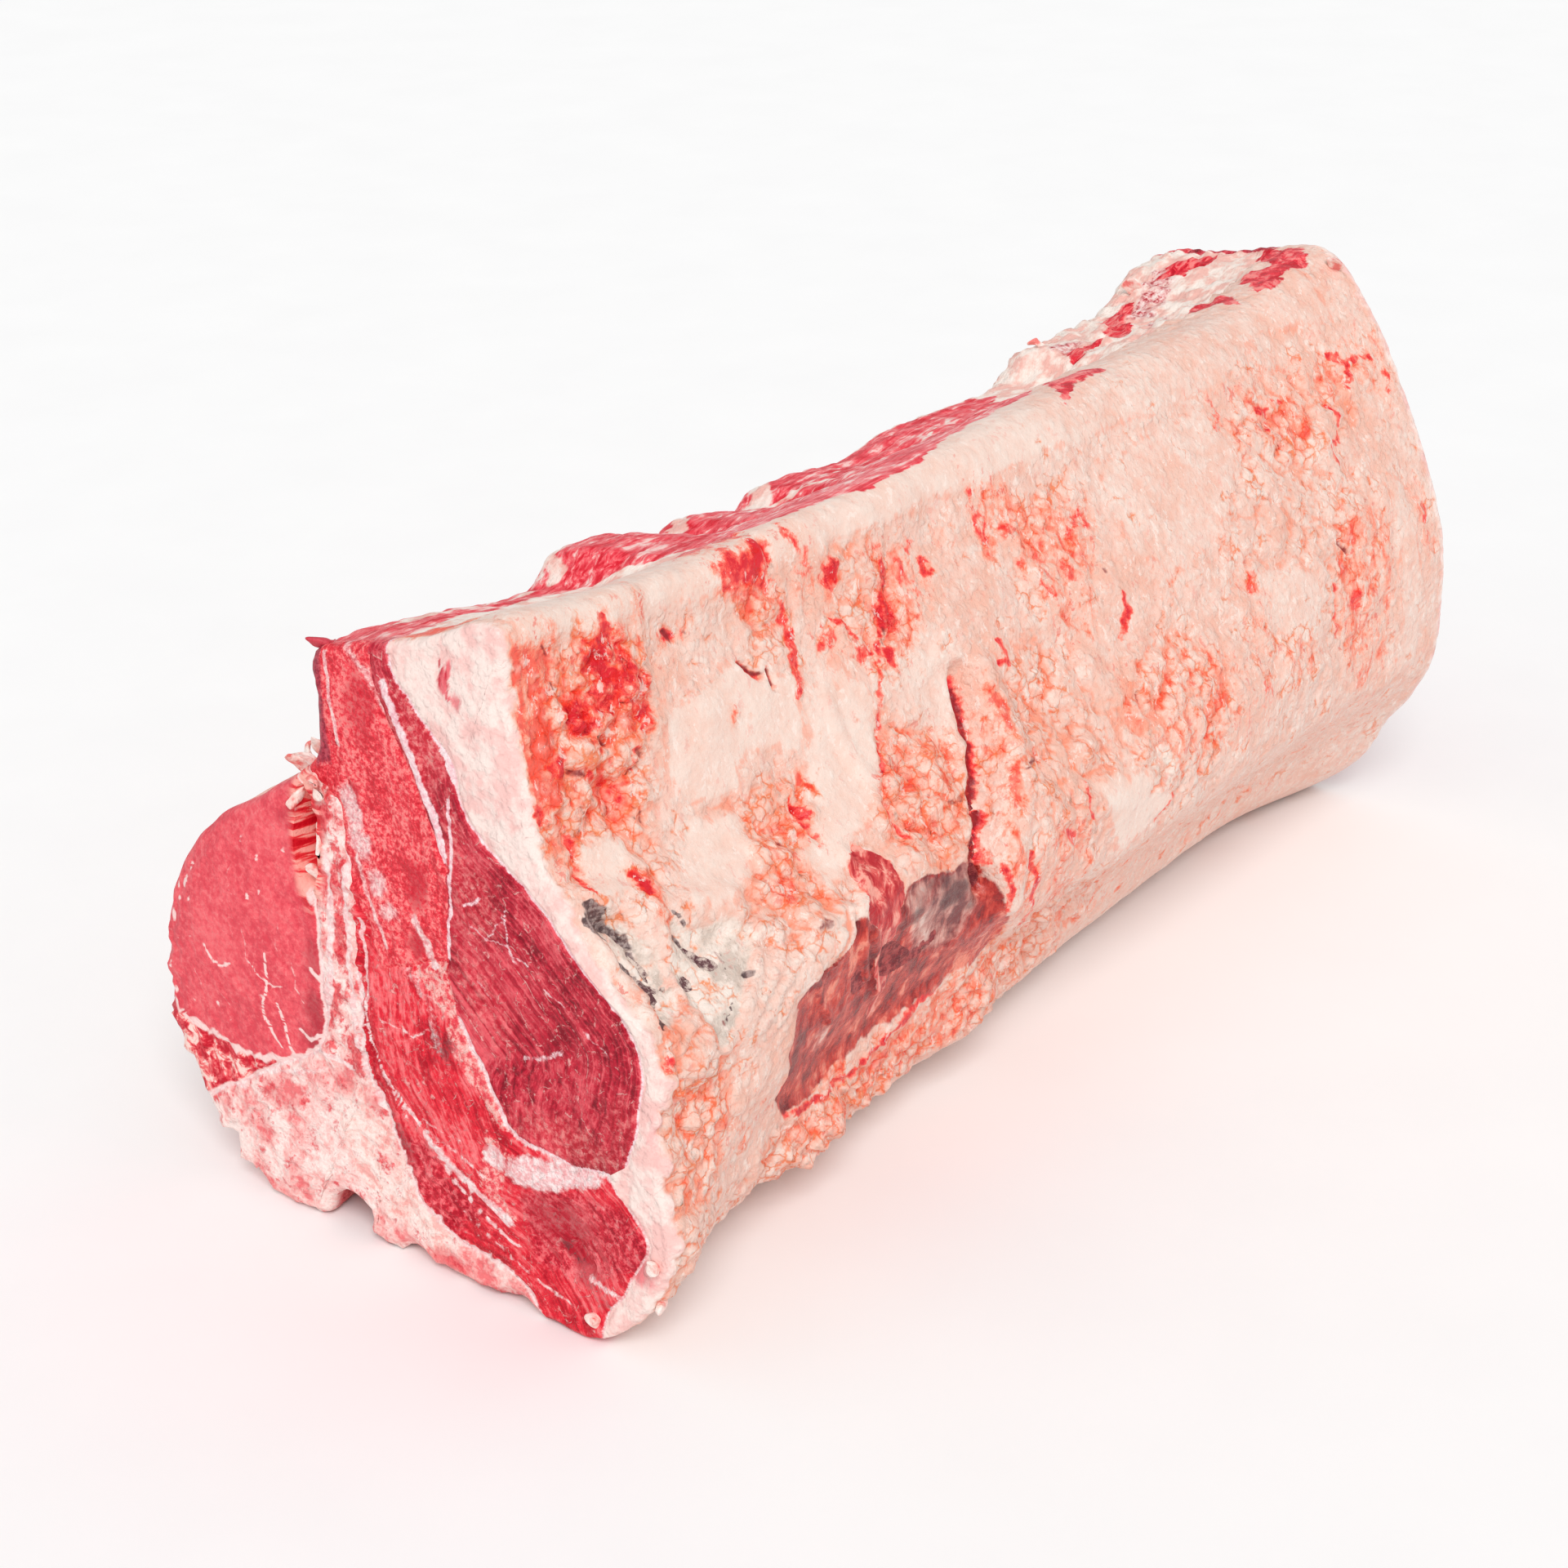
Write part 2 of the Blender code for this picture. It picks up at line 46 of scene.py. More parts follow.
# lengths in the tables are millimetres from the loin's middle: x along it from the
# sirloin end's cut face at -X, y from the fat side at -Y, z up from the sawn base
MM = 0.001
LENGTH = 439.0
HALF = LENGTH / 2.0
ORIGIN = np.array((1.358, 0.558, 0.0))      # from the loin's middle to the row frame
LOW_CORNER = np.array((-222.1, -97.0, 0.0))
HIGH_CORNER = np.array((219.5, 95.9, 206.2))
FACE_Y, FACE_Z = -4.0, 92.0                 # middle of the cut faces
RIM_ROUND = 2.2                             # the sawn edge is this soft
RIM_TURN = np.radians((0.0, 22.0, 45.0, 68.0, 90.0))
NEAR_RINGS, SIDE_RINGS, FAR_RINGS = 150, 302, 46
# section landmarks: y, z at the sirloin end, y, z at the rib end, net spacing to
# the next one
SECTION = np.array((
    (-41.0, 204.3, -41.0, 206.0, 1.25), (-43.2, 184.0, -62.0, 184.0, 1.25),
    (-49.0, 162.0, -76.0, 158.0, 1.25), (-56.8, 134.0, -90.0, 127.0, 1.25),
    (-74.5, 114.5, -96.0, 105.0, 1.25), (-91.5, 98.0, -97.0, 84.0, 1.25),
    (-89.5, 77.0, -96.0, 64.0, 1.25), (-90.0, 64.0, -90.0, 48.0, 1.25),
    (-95.5, 42.0, -80.0, 33.0, 1.3), (-90.0, 23.5, -71.5, 17.0, 1.3),
    (-77.0, 7.0, -59.0, 5.0, 1.6), (-64.0, 0.0, -49.0, 0.0, 2.6), (-42.0, 0.0, -36.0, 0.0, 2.8),
    (12.0, 0.0, 12.0, 0.0, 2.6), (17.5, 9.5, 17.0, 9.0, 2.4), (25.0, 13.0, 24.0, 12.0, 2.4),
    (31.0, 8.5, 30.0, 8.0, 2.4), (37.0, 0.0, 36.0, 0.0, 2.6), (63.0, 0.0, 58.0, 0.0, 2.4),
    (70.5, 7.0, 65.0, 9.0, 2.0), (80.0, 18.0, 68.0, 24.0, 1.9), (85.5, 30.0, 66.0, 40.0, 1.9),
    (94.0, 43.0, 64.0, 55.0, 1.9), (96.0, 64.0, 62.0, 74.0, 1.9), (89.0, 89.5, 57.0, 97.0, 1.9),
    (72.5, 113.0, 50.0, 120.0, 1.9), (49.0, 131.0, 42.0, 142.0, 1.9),
    (33.5, 142.5, 35.0, 157.0, 1.8), (25.0, 151.5, 30.0, 172.0, 1.6),
    (24.0, 167.0, 27.0, 184.0, 1.3), (22.0, 181.5, 21.0, 195.0, 1.25),
    (-8.0, 191.0, -10.0, 200.0, 1.25)))
# lumps, folds and hollows of the fat side: x, z, half sizes, height
SWELLS = (
    (-182, 174, 20, 17, 2.6), (-190, 149, 11, 8, -3.6), (-188, 106, 24, 17, -3.0),
    (-110, 73, 44, 21, -4.0), (-42, 110, 11, 30, 4.0), (-132, 20, 13, 17, 7.0),
    (-48, 22, 17, 16, 5.0), (150, 92, 30, 26, -2.0), (70, 120, 60, 40, 2.5))
# finger bones under the back edge: x of start, full, fall and end, and rise
FINGERS = (
    (-137, -124, -112, -80, 8.5), (-84, -70, -66, -40, 4.0), (-42, -32, -22, 10, 5.0),
    (10, 34, 44, 100, 2.0), (104, 118, 160, 190, 8.0))
# domes and dishes of the near face: y, z, radius, rise
FACE_SWELLS = (
    (60, 86, 30, 3.0), (-54, 94, 24, -2.0), (-74, 78, 12, 1.5), (-4, 66, 20, 1.8),
    (-62, 30, 14, -2.2), (48, 24, 22, 1.5), (-38, 168, 18, 1.2), (2, 140, 14, -1.2))


def ease(value, low, high):
    """0 at low, 1 at high, soft at both ends."""
    k = np.clip((value - low) / (high - low), 0.0, 1.0)
    return k * k * (3.0 - 2.0 * k)


def bell(value, middle, half):
    return np.exp(-((value - middle) / half) ** 2)


def along(x):
    """Share of the rib-end section at x."""
    return 0.5 * ease(x, -HALF, HALF) + 0.5 * (x + HALF) / LENGTH


def curve(marks, counts, closed):
    """Smooth curve through rows of marks, with counts steps in each gap."""
    n = len(marks)
    out = []
    for i, steps in enumerate(counts):
        pick = [(i + j) % n if closed else min(max(i + j, 0), n - 1) for j in (-1, 0, 1, 2)]
        a, b, c, d = (marks[j] for j in pick)
        for k in np.arange(steps) / steps:
            out.append(0.5 * (2 * b + (c - a) * k + (2 * a - 5 * b + 4 * c - d) * k * k
                              + (3 * b - a - 3 * c + d) * k ** 3))
    if not closed:
        out.append(marks[-1])
    return np.array(out)


def settle_section(x, y, z):
    """Lets the plain section sag, tuck in and rise as the loin does at x."""
    crest = -10.0 * (1 - bell(x, -HALF - 15, 62)) * (1 - bell(x, HALF + 6, 46))
    back = (-12.0 * ease(x, -216, -130) - 7.0 * ease(x, -130, -20)
            - 2.0 * ease(x, 40, 110) + 20.0 * ease(x, 158, 202))
    for start, full, fall, end, rise in FINGERS:
        back = back + rise * ease(x, start, full) * (1 - ease(x, fall, end))
    tuck = 16.0 * (1 - bell(x, -HALF - 6, 44)) * (1 - bell(x, HALF + 10, 52))
    front = ease(-y, -6, 30)
    high = ease(z, 140, 185)
    low = ease(-z, -72, -38) * ease(-y, 22, 52)
    return y + tuck * low, z + high * (front * crest + (1 - front) * back)


SLOPES = np.random.default_rng(5).normal(size=(1024, 3))
SLOPES /= np.linalg.norm(SLOPES, axis=1)[:, None]


def cloud(points, pitch, seed=0):
    """Even random swell of the given pitch, about -1 to 1, at each point."""
    q = points / pitch + 37.7 * seed + 500.0
    cell = np.floor(q).astype(np.int64)
    part = q - cell
    fade = part ** 3 * (part * (part * 6 - 15) + 10)
    total = np.zeros(points.shape[:-1])
    for corner in np.ndindex(2, 2, 2):
        at = cell + corner
        key = at[..., 0] * 92821 + at[..., 1] * 68917 + at[..., 2] * 283923
        slope = SLOPES[(key ^ (key >> 7)) & 1023]
        share = np.prod(np.where(corner, fade, 1 - fade), axis=-1)
        total += share * np.sum(slope * (part - corner), axis=-1)
    return 1.7 * total


def ovals(u, v, marks):
    """Soft ovals: u, v, half sizes, tilt in degrees, strength."""
    out = np.zeros(u.shape)
    for cu, cv, hu, hv, tilt, strength in marks:
        near = (abs(u - cu) < 1.5 * max(hu, hv)) & (abs(v - cv) < 1.5 * max(hu, hv))
        du, dv = u[near] - cu, v[near] - cv
        c, s = math.cos(math.radians(tilt)), math.sin(math.radians(tilt))
        far = np.hypot((du * c + dv * s) / hu, (dv * c - du * s) / hv)
        out[near] = np.maximum(out[near], strength * (1 - ease(far, 0.35, 1.35)))
    return out


def gap_to(u, v, path):
    """Distance to a line through the points of path."""
    gap = np.full(u.shape, 1e9)
    for (au, av), (bu, bv) in zip(path, path[1:]):
        du, dv = bu - au, bv - av
        t = np.clip(((u - au) * du + (v - av) * dv) / (du * du + dv * dv + 1e-9), 0, 1)
        gap = np.minimum(gap, np.hypot(u - au - t * du, v - av - t * dv))
    return gap


def strokes(u, v, marks):
    """Soft lines: half width, strength, then the (u, v) points that each follows."""
    out = np.zeros(u.shape)
    for half, strength, *path in marks:
        path = np.array(path, float)
        reach = 2.0 * half
        near = ((u > path[:, 0].min() - reach) & (u < path[:, 0].max() + reach)
                & (v > path[:, 1].min() - reach) & (v < path[:, 1].max() + reach))
        gap = gap_to(u[near], v[near], path)
        out[near] = np.maximum(out[near], strength * (1 - ease(gap, 0.3 * half, 1.7 * half)))
    return out


def inside(u, v, outline, soft):
    """1 inside a closed outline, 0 outside, over a soft edge."""
    outline = np.array(outline, float)
    odd = np.zeros(u.shape, bool)
    for (au, av), (bu, bv) in zip(outline, np.roll(outline, -1, axis=0)):
        cross = (av > v) != (bv > v)
        odd ^= cross & (u < (bu - au) * (v - av) / (bv - av + 1e-9) + au)
    gap = gap_to(u, v, [*outline, outline[0]])
    return ease(np.where(odd, gap, -gap), -soft, soft)


def inside_any(u, v, outlines, soft):
    return np.max([inside(u, v, outline, soft) for outline in outlines], axis=0)


# clefts and slits in the fat side: half width, depth, then x, z along each
CLEFTS = (
    (3.8, 6.2, (-47, 137), (-48, 127), (-51, 119), (-58, 109), (-65, 102), (-70, 95), (-68, 86)),
    (2.2, 2.4, (-194, 154), (-187, 150), (-184, 145), (-189, 141)),
    (1.1, 2.0, (-69, 103), (-72, 99), (-70, 90)), (1.0, 1.8, (-112, 194), (-111, 188)),
    (0.9, 1.6, (-62, 172), (-65, 163), (-72, 155)), (1.0, 1.6, (-190, 165), (-187, 162)),
    (0.9, 1.5, (-179, 158), (-175, 155)), (0.9, 1.4, (-181, 154), (-176, 153)),
    (1.0, 1.6, (-130, 166), (-125, 160)), (0.9, 1.4, (-122, 161), (-121, 156)),
    (1.2, 1.5, (-155, 181), (-153, 179)), (1.2, 2.4, (-211, 126), (-207, 123), (-203, 119)),
    (1.0, 2.0, (-204, 117), (-203, 112)), (1.0, 1.8, (-208, 114), (-207, 108), (-212, 103)),
    (0.8, 1.3, (-187, 114), (-183, 109)), (1.0, 1.4, (140, 162), (136, 157)),
    (1.3, 2.4, (151, 127), (156, 121)), (0.9, 1.2, (143, 114), (144, 95)),
    (1.1, 1.5, (-128, 124), (-126, 118)), (1.0, 1.4, (-179, 142), (-180, 138)),
    (0.9, 1.3, (24, 112), (24, 104)),
    (1.5, 2.0, (-202, 160), (-196, 157), (-187, 150), (-184, 146)),
    (1.1, 1.2, (-133, 102), (-137, 94), (-146, 89)), (0.9, 1.3, (36, 99), (34, 91), (20, 84)),
    (1.0, 1.2, (-209, 146), (-207, 140), (-209, 131)), (0.9, 1.2, (11, 26), (14, 24)),
    (0.8, 1.0, (-83, 139), (-90, 127), (-98, 118), (-97, 109)))
# strands, flaps and nodules that stand proud of it, in the same way
PROUD = (
    (1.7, 1.6, (-121, 113), (-119, 107), (-126, 101), (-126, 91), (-119, 75)),
    (1.5, 1.2, (-121, 91), (-116, 82), (-112, 64)),
    (1.3, 1.1, (-153, 99), (-150, 90), (-141, 76), (-137, 67)),
    (3.0, 1.8, (-134, 105), (-133, 98), (-141, 92)),
    (5.0, 2.8, (-39, 136), (-40, 122), (-46, 110), (-53, 102), (-58, 92), (-58, 76)),
    (3.6, 2.4, (-219, 131), (-212, 129), (-202, 127), (-194, 121), (-186, 121), (-166, 115)),
    (2.2, 1.2, (-206, 162), (-200, 165), (-190, 160), (-180, 154), (-177, 147), (-183, 139)),
    (2.4, 1.5, (-214, 118), (-212, 111), (-213, 103)), (2.6, 2.2, (-216, 90), (-216, 86)),
    (3.4, 1.6, (-190, 131), (-190, 123), (-191, 116)), (3.5, 1.6, (-193, 153), (-190, 149)),
    (2.0, 1.2, (-59, 90), (-57, 80), (-58, 70)), (2.4, 1.0, (-74, 52), (-90, 46), (-112, 39)),
    (2.2, 1.2, (40, 99), (38, 91), (24, 84)), (2.4, 1.0, (-103, 150), (-101, 132), (-97, 120)))
# how lumpy the fat is: x, z, half sizes, tilt, strength
LUMPY = (
    (-186, 174, 24, 24, 0, 1.0), (-194, 148, 22, 14, 0, 1.0), (-196, 134, 20, 12, 0, 0.8),
    (-140, 118, 30, 20, 0, 0.9), (-84, 116, 24, 22, 0, 0.9), (-116, 176, 12, 16, 0, 0.6),
    (-80, 172, 18, 18, 0, 0.6), (-120, 24, 60, 20, 0, 1.0), (-20, 40, 50, 24, 0, 0.8),
    (-20, 110, 30, 36, 0, 0.6), (10, 158, 22, 22, 0, 0.5), (40, 100, 40, 30, 0, 0.6),
    (-207, 74, 24, 40, 0, 0.8), (-208, 26, 22, 26, 0, 0.6), (130, 130, 60, 50, 0, 0.4),
    (160, 166, 50, 16, 0, 0.5))
FLANK_PATCH = (
    (-147, 91), (-139, 96), (-129, 99), (-114, 98), (-103, 100), (-92, 99), (-76, 97), (-66, 90),
    (-60, 76), (-50, 62), (-54, 53), (-73, 50), (-95, 48), (-117, 47), (-135, 43), (-152, 44),
    (-158, 54), (-155, 62), (-159, 70), (-156, 78), (-157, 86))
# fat that a knife left smooth, and silver membrane with its fine folds, as x, z
TRIMMED = (
    ((-156, 163), (-135, 167), (-115, 158), (-112, 146), (-117, 139), (-137, 145), (-145, 136),
     (-163, 139), (-169, 147), (-167, 160)),
    ((-163, 134), (-145, 131), (-152, 120), (-166, 115), (-182, 119), (-173, 129)),
    ((-204, 141), (-189, 140), (-187, 131), (-198, 125), (-209, 129)),
    ((-108, 154), (-93, 156), (-84, 140), (-95, 123), (-117, 112), (-134, 107), (-134, 117),
     (-122, 123), (-117, 136)),
    ((-214, 196), (-140, 188), (-60, 186), (0, 185), (61, 184), (118, 181), (150, 190),
     (196, 188), (196, 214), (-214, 214)),
    ((44, 176), (108, 178), (112, 160), (84, 142), (60, 140), (44, 150)),
    ((96, 130), (133, 122), (131, 98), (108, 106), (94, 116)),
    ((186, 140), (198, 136), (202, 70), (184, 66), (188, 104)),
    ((-12, 98), (16, 92), (32, 76), (4, 68)))
SILVER = (
    ((-188, 117), (-176, 114), (-163, 111), (-172, 104), (-178, 99), (-185, 90), (-194, 88),
     (-195, 98), (-197, 105), (-195, 111)),
    ((-213, 127), (-203, 123), (-196, 113), (-203, 104), (-210, 102), (-207, 110)))
SILVER_FOLDS = ((-168, 96, 16, 18, 0, 1.0),)


def flank_height(points):
    """Lumps, clefts and strands of the fat side, outwards, and the marks they leave, among them
    where shade is painted in the furrows.
    """
    x, y, z = np.moveaxis(points, -1, 0)
    side = ease(-y, 20, 44) * ease(z, 4, 26)
    height = sum(rise * bell(x, cx, hx) * bell(z, cz, hz) for cx, cz, hx, hz, rise in SWELLS)
    height = height + 1.3 * cloud(points, 34.0, 1) + 0.8 * cloud(points, 15.0, 2)
    u = x + 1.3 * cloud(points, 8.0, 3)
    v = z + 1.3 * cloud(points, 8.0, 4)
    patch = inside(u, v, FLANK_PATCH, 3.0)
    trimmed = inside_any(u, v, TRIMMED, 2.5)
    silver = inside_any(u, v, SILVER, 1.5)
    calm = 1 - 0.85 * np.maximum(patch, np.maximum(trimmed, silver))
    lumpy = (0.2 + ovals(x, z, LUMPY)) * calm
    big = np.abs(cloud(points, 15.0, 5) + 0.25 * cloud(points, 5.0, 20))
    little = np.abs(cloud(points, 6.4, 6) + 0.25 * cloud(points, 2.6, 21))
    height += lumpy * (4.6 * (big - 0.25) + 3.2 * (little - 0.22))
    height += 0.35 * (1 - 0.7 * trimmed) * cloud(points, 2.9, 22)
    height -= 2.0 * patch + 2.4 * silver - 0.6 * trimmed
    height += 0.7 * ovals(x, z, SILVER_FOLDS) * np.sin(0.9 * (v - 0.8 * u))
    height += strokes(u, v, PROUD) - strokes(u, v, CLEFTS)
    # the creases between the lumps and the slits of the clefts: where the finish paints shade
    crease = np.maximum(1 - ease(big, 0.0, 0.2), 0.9 - 0.9 * ease(little, 0.0, 0.16))
    slits = strokes(u, v, [(min(0.9 * half, 1.7), 1.0, *path) for half, _, *path in CLEFTS])
    valley = np.maximum(crease * ease(lumpy, 0.1, 0.8), slits)
    return height * side, dict(valley=valley * side, side_x=u, side_z=v)


def back_height(points):
    """Soft lobes of the side that the camera doesn't see."""
    y, z = points[..., 1], points[..., 2]
    soft = cloud(points / (1.2, 1.0, 1.0), 40.0, 7) + 0.45 * cloud(points, 12.0, 8)
    return 2.0 * soft * ease(y, 28, 50) * ease(z, 14, 40)


def top_height(points):
    """Muscle strips, bone ends and torn membrane along the top."""
    x, y, z = np.moveaxis(points, -1, 0)
    top = ease(z, 158, 172) * ease(y, -38, -20)
    rough = 0.4 + 0.8 * ease(x, 96, 118)
    grain = cloud(points * (0.22, 1.0, 1.0), 5.0, 9)
    lumps = np.abs(cloud(points, 11.0, 10)) - 0.2
    torn = np.abs(cloud(points, 5.0, 11)) - 0.2
    return top * (0.7 * grain + 2.4 * rough * lumps + 1.6 * torn * rough)


def made_of(bm, name):
    """The bmesh as an object of the scene."""
    mesh = bpy.data.meshes.new(name)
    bm.to_mesh(mesh)
    bm.free()
    made = bpy.data.objects.new(name, mesh)
    bpy.context.collection.objects.link(made)
    return made


def skin(name, rows, **marks):
    """Closed skin over rows of points (millimetres) that each run round the loin."""
    count, around = rows.shape[:2]
    bm = bmesh.new()
    bmesh.ops.create_grid(bm, x_segments=around, y_segments=count - 1, size=1.0)
    places = np.concatenate([rows, rows[:, :1]], axis=1).reshape(-1, 3)
    for vert, place in zip(bm.verts, ((places + ORIGIN) * MM).tolist()):
        vert.co = place
    for key, values in marks.items():
        layer = bm.verts.layers.float.new(key)
        values = np.concatenate([values, values[:, :1]], axis=1).ravel().tolist()
        for vert, value in zip(bm.verts, values):
            vert[layer] = value
    bmesh.ops.remove_doubles(bm, verts=bm.verts, dist=1e-6)
    bmesh.ops.holes_fill(bm, edges=bm.edges)
    bmesh.ops.recalc_face_normals(bm, faces=bm.faces)
    return made_of(bm, name)


# each row of the net: x, how far it is pulled in from the side, its share of the width
stations = [(-HALF, RIM_ROUND, share) for share in np.linspace(0.0, 1.0, NEAR_RINGS)[:-1]]
stations += [(-HALF + RIM_ROUND * (1 - math.cos(a)), RIM_ROUND * (1 - math.sin(a)), 1.0)
             for a in RIM_TURN]
stations += [(-HALF + RIM_ROUND + (LENGTH - 2 * RIM_ROUND) * (0.86 * k + 0.14 * k * k), 0.0, 1.0)
             for k in np.linspace(0.0, 1.0, SIDE_RINGS)[1:-1]]
stations += [(HALF - RIM_ROUND * (1 - math.cos(a)), RIM_ROUND * (1 - math.sin(a)), 1.0)
             for a in RIM_TURN[::-1]]
stations += [(HALF, RIM_ROUND, share) for share in np.linspace(1.0, 0.0, FAR_RINGS)[1:]]
x, pulled_in, shrink = np.array(stations).T[..., None]

spacing = np.hypot(*(np.roll(SECTION[:, 0:2], -1, axis=0) - SECTION[:, 0:2]).T)
net = curve(SECTION[:, 0:4], np.maximum(1, np.round(spacing / SECTION[:, 4])).astype(int), True)
share = along(x)
y = net[None, :, 0] + (net[:, 2] - net[:, 0])[None] * share
z = np.maximum(0.0, net[None, :, 1] + (net[:, 3] - net[:, 1])[None] * share)
y, z = settle_section(x, y, z)
step_y = np.roll(y, -1, axis=1) - np.roll(y, 1, axis=1)
step_z = np.roll(z, -1, axis=1) - np.roll(z, 1, axis=1)
step = np.hypot(step_y, step_z)
flat = np.stack([np.broadcast_to(x, y.shape), y, z], axis=-1)
calm = ease(x, -HALF - 8, -HALF + 5) * ease(-x, -HALF - 6, -HALF + 9)
flank, marks = flank_height(flat)
height = calm * (flank + back_height(flat) + top_height(flat))
# the saw and the knife chipped the edge of the near face, most of all low down
ragged = np.abs(cloud(flat, 7.0, 12)) + 0.6 * np.abs(cloud(flat, 2.6, 13))
chipped = ease(y, -62, -34) * ease(-z, -140, -90)
height -= pulled_in + (pulled_in > 0) * ragged * (0.5 + 1.6 * chipped)
chips = 8.0 * np.abs(cloud(flat, 15.0, 25)) * ease(-x, 150, HALF)
chips += 3.4 * np.abs(cloud(flat, 6.5, 26)) * ease(-x, 200, HALF)
canal = bell(y, 25, 16) * ease(-z, -32, -18)
height -= chips * chipped * ease(-z, -80, -58) * (1 - canal)
y, z = y + step_z / step * height, z - step_y / step * height
y, z = FACE_Y + (y - FACE_Y) * shrink, FACE_Z + (z - FACE_Z) * shrink
outside = np.stack([np.broadcast_to(x, y.shape), y, z], axis=-1)
y, z = outside[..., 1], outside[..., 2]

# seams between the tissues, y and z at the sirloin end and at the rib end; the
# points outside the loin only carry a seam clear of the surface
PLATE_LEAN = (
    (6, 230, 12, 230), (3, 187, 9, 197), (0, 172, 10, 178), (-12, 150, 9, 158),
    (-21.5, 130, 5, 136))
PLATE_FOOT = (
    (-19.5, 102, 2, 116), (-7, 97, 5, 111), (4, 92, 9, 110))
PLATE_BACK = (
    (14, 116, 15, 114), (17.5, 130, 20, 134), (20.8, 141, 25, 152), (50, 160, 60, 178))
LOBE_SEAM = (
    (52, 149, 62, 165), (31, 141, 36, 150), (34, 129, 36, 134), (29, 107, 39, 112),
    (28, 82, 43, 90), (31, 60, 47, 72), (52, 45, 52, 56), (84, 24, 63, 42), (120, 5, 110, 28))
FASCIA = (
    (14, 88, 11, 92), (12.5, 62, 7, 70), (5, 46, -2, 50), (-3, 26, -14, 32), (-18, 14.5, -22, 14),
    (-44, 8, -28, 6), (-58, -25, -38, -25))
EYE_DEEP = (
    (-22.5, 86, -2, 96), (-33, 69.5, -8, 76), (-40, 57.5, -18, 58), (-58, 54, -36, 44),
    (-74, 56, -60, 38))
COVER_LEAN = (
    (-26, 230, -22, 230), (-26, 190, -24, 202), (-27, 176, -38, 186), (-28, 163, -54, 168),
    (-28, 150, -65, 152), (-39, 139, -74, 137), (-52, 130, -81, 121), (-66, 116, -85, 106),
    (-80, 103.5, -87, 93), (-86, 92, -87, 79), (-84.5, 74, -83.5, 62), (-80, 61, -73, 46))
COVER_DEEP = (
    (-81, 48, -60, 25), (-87, 39, -55, 14), (-80, 22, -50, 5), (-72, 8, -46, -3),
    (-68, -25, -44, -25))
SEAMS = (PLATE_LEAN, PLATE_FOOT, PLATE_BACK, LOBE_SEAM, FASCIA, EYE_DEEP, COVER_LEAN, COVER_DEEP)


def drawn(seam, x):
    """A seam at x as rows of y and z: one flowing, slightly wandering line."""
    marks = np.array(seam, float)
    y, z = marks[:, 0:2].T + (marks[:, 2:4] - marks[:, 0:2]).T * along(x)
    line = np.stack(settle_section(x, y, z), axis=1)
    if seam is COVER_LEAN:      # behind the face the lean reaches up beside the fat band
        pull = 22.0 * (1 - ease(x, -HALF, -HALF + 34))
        line[:, 0] += pull * ease(line[:, 1], 156, 186)
    if seam is PLATE_LEAN:      # and lies over the edge of the bone plate
        push = 11.0 * ease(x, -HALF + 14, -HALF + 46) * (1 - 0.7 * ease(x, 110, 160))
        line[:, 0] += push * ease(line[:, 1], 150, 172)
    line = curve(line, [6] * (len(line) - 1), False)
    place = np.column_stack([np.full(len(line), x), line])
    line[1:-1, 0] += 0.9 * cloud(place, 9.0, 18)[1:-1]
    line[1:-1, 1] += 0.9 * cloud(place, 9.0, 19)[1:-1]
    return line


# relief of the near face, and where its bone is rough, as y, z
FACE_SLITS = ((2.0, 1.6, (-60, 28), (-65, 23)), (1.4, 0.8, (10, 107), (12, 80), (9, 62)))
FACE_RIDGES = ((4.0, 1.0, (-40, 47), (-52, 46)), (1.5, 0.6, (-12, 43), (-37, 28)),
               (2.0, 0.7, (-3, 176), (-15, 151), (-20, 128)))
BONY = ((98, 58), (90, 24), (66, 0), (-40, 0), (-14, 36), (8, 60), (12, 88), (8, 112),
        (16, 146), (32, 142), (28, 100), (29, 62), (46, 50), (80, 49))
face = (x < -HALF + 0.1) & (shrink < 1.0)
far_face = (x > HALF - 0.1) & (shrink < 1.0)
rim_fade = ease(100.0 * (1.0 - shrink), 0.0, 5.0)
rise = sum(up * np.exp(-((y - cy) ** 2 + (z - cz) ** 2) / radius ** 2)
           for cy, cz, radius, up in FACE_SWELLS)
seam_dip = strokes(y, z, [(0.9, 1.0, *drawn(seam, -HALF)) for seam in SEAMS])
rise = rise * rim_fade - 0.7 * seam_dip + 0.5 * cloud(outside, 9.0, 14)
rise += 0.35 * cloud(outside, 3.0, 15) + 0.2 * cloud(outside, 1.7, 16)
rise -= strokes(y, z, FACE_SLITS)
rise += strokes(y, z, FACE_RIDGES)
rise += inside(y, z, BONY, 3.0) * rim_fade * (
    1.8 * np.abs(cloud(outside, 7.0, 23)) + 1.0 * np.abs(cloud(outside, 3.2, 24)) - 0.8)
outside[..., 0] -= np.where(face, rise * ease(shrink, 0.0, 0.02), 0.0)
outside[..., 0] -= np.where(far_face, np.abs(cloud(outside, 8.0, 17)) * rim_fade, 0.0)
outside = np.clip(outside, LOW_CORNER, HIGH_CORNER)
for row in (0, -1):
    outside[row] = outside[row].mean(axis=0)
whole = skin("whole_loin", outside, **marks)

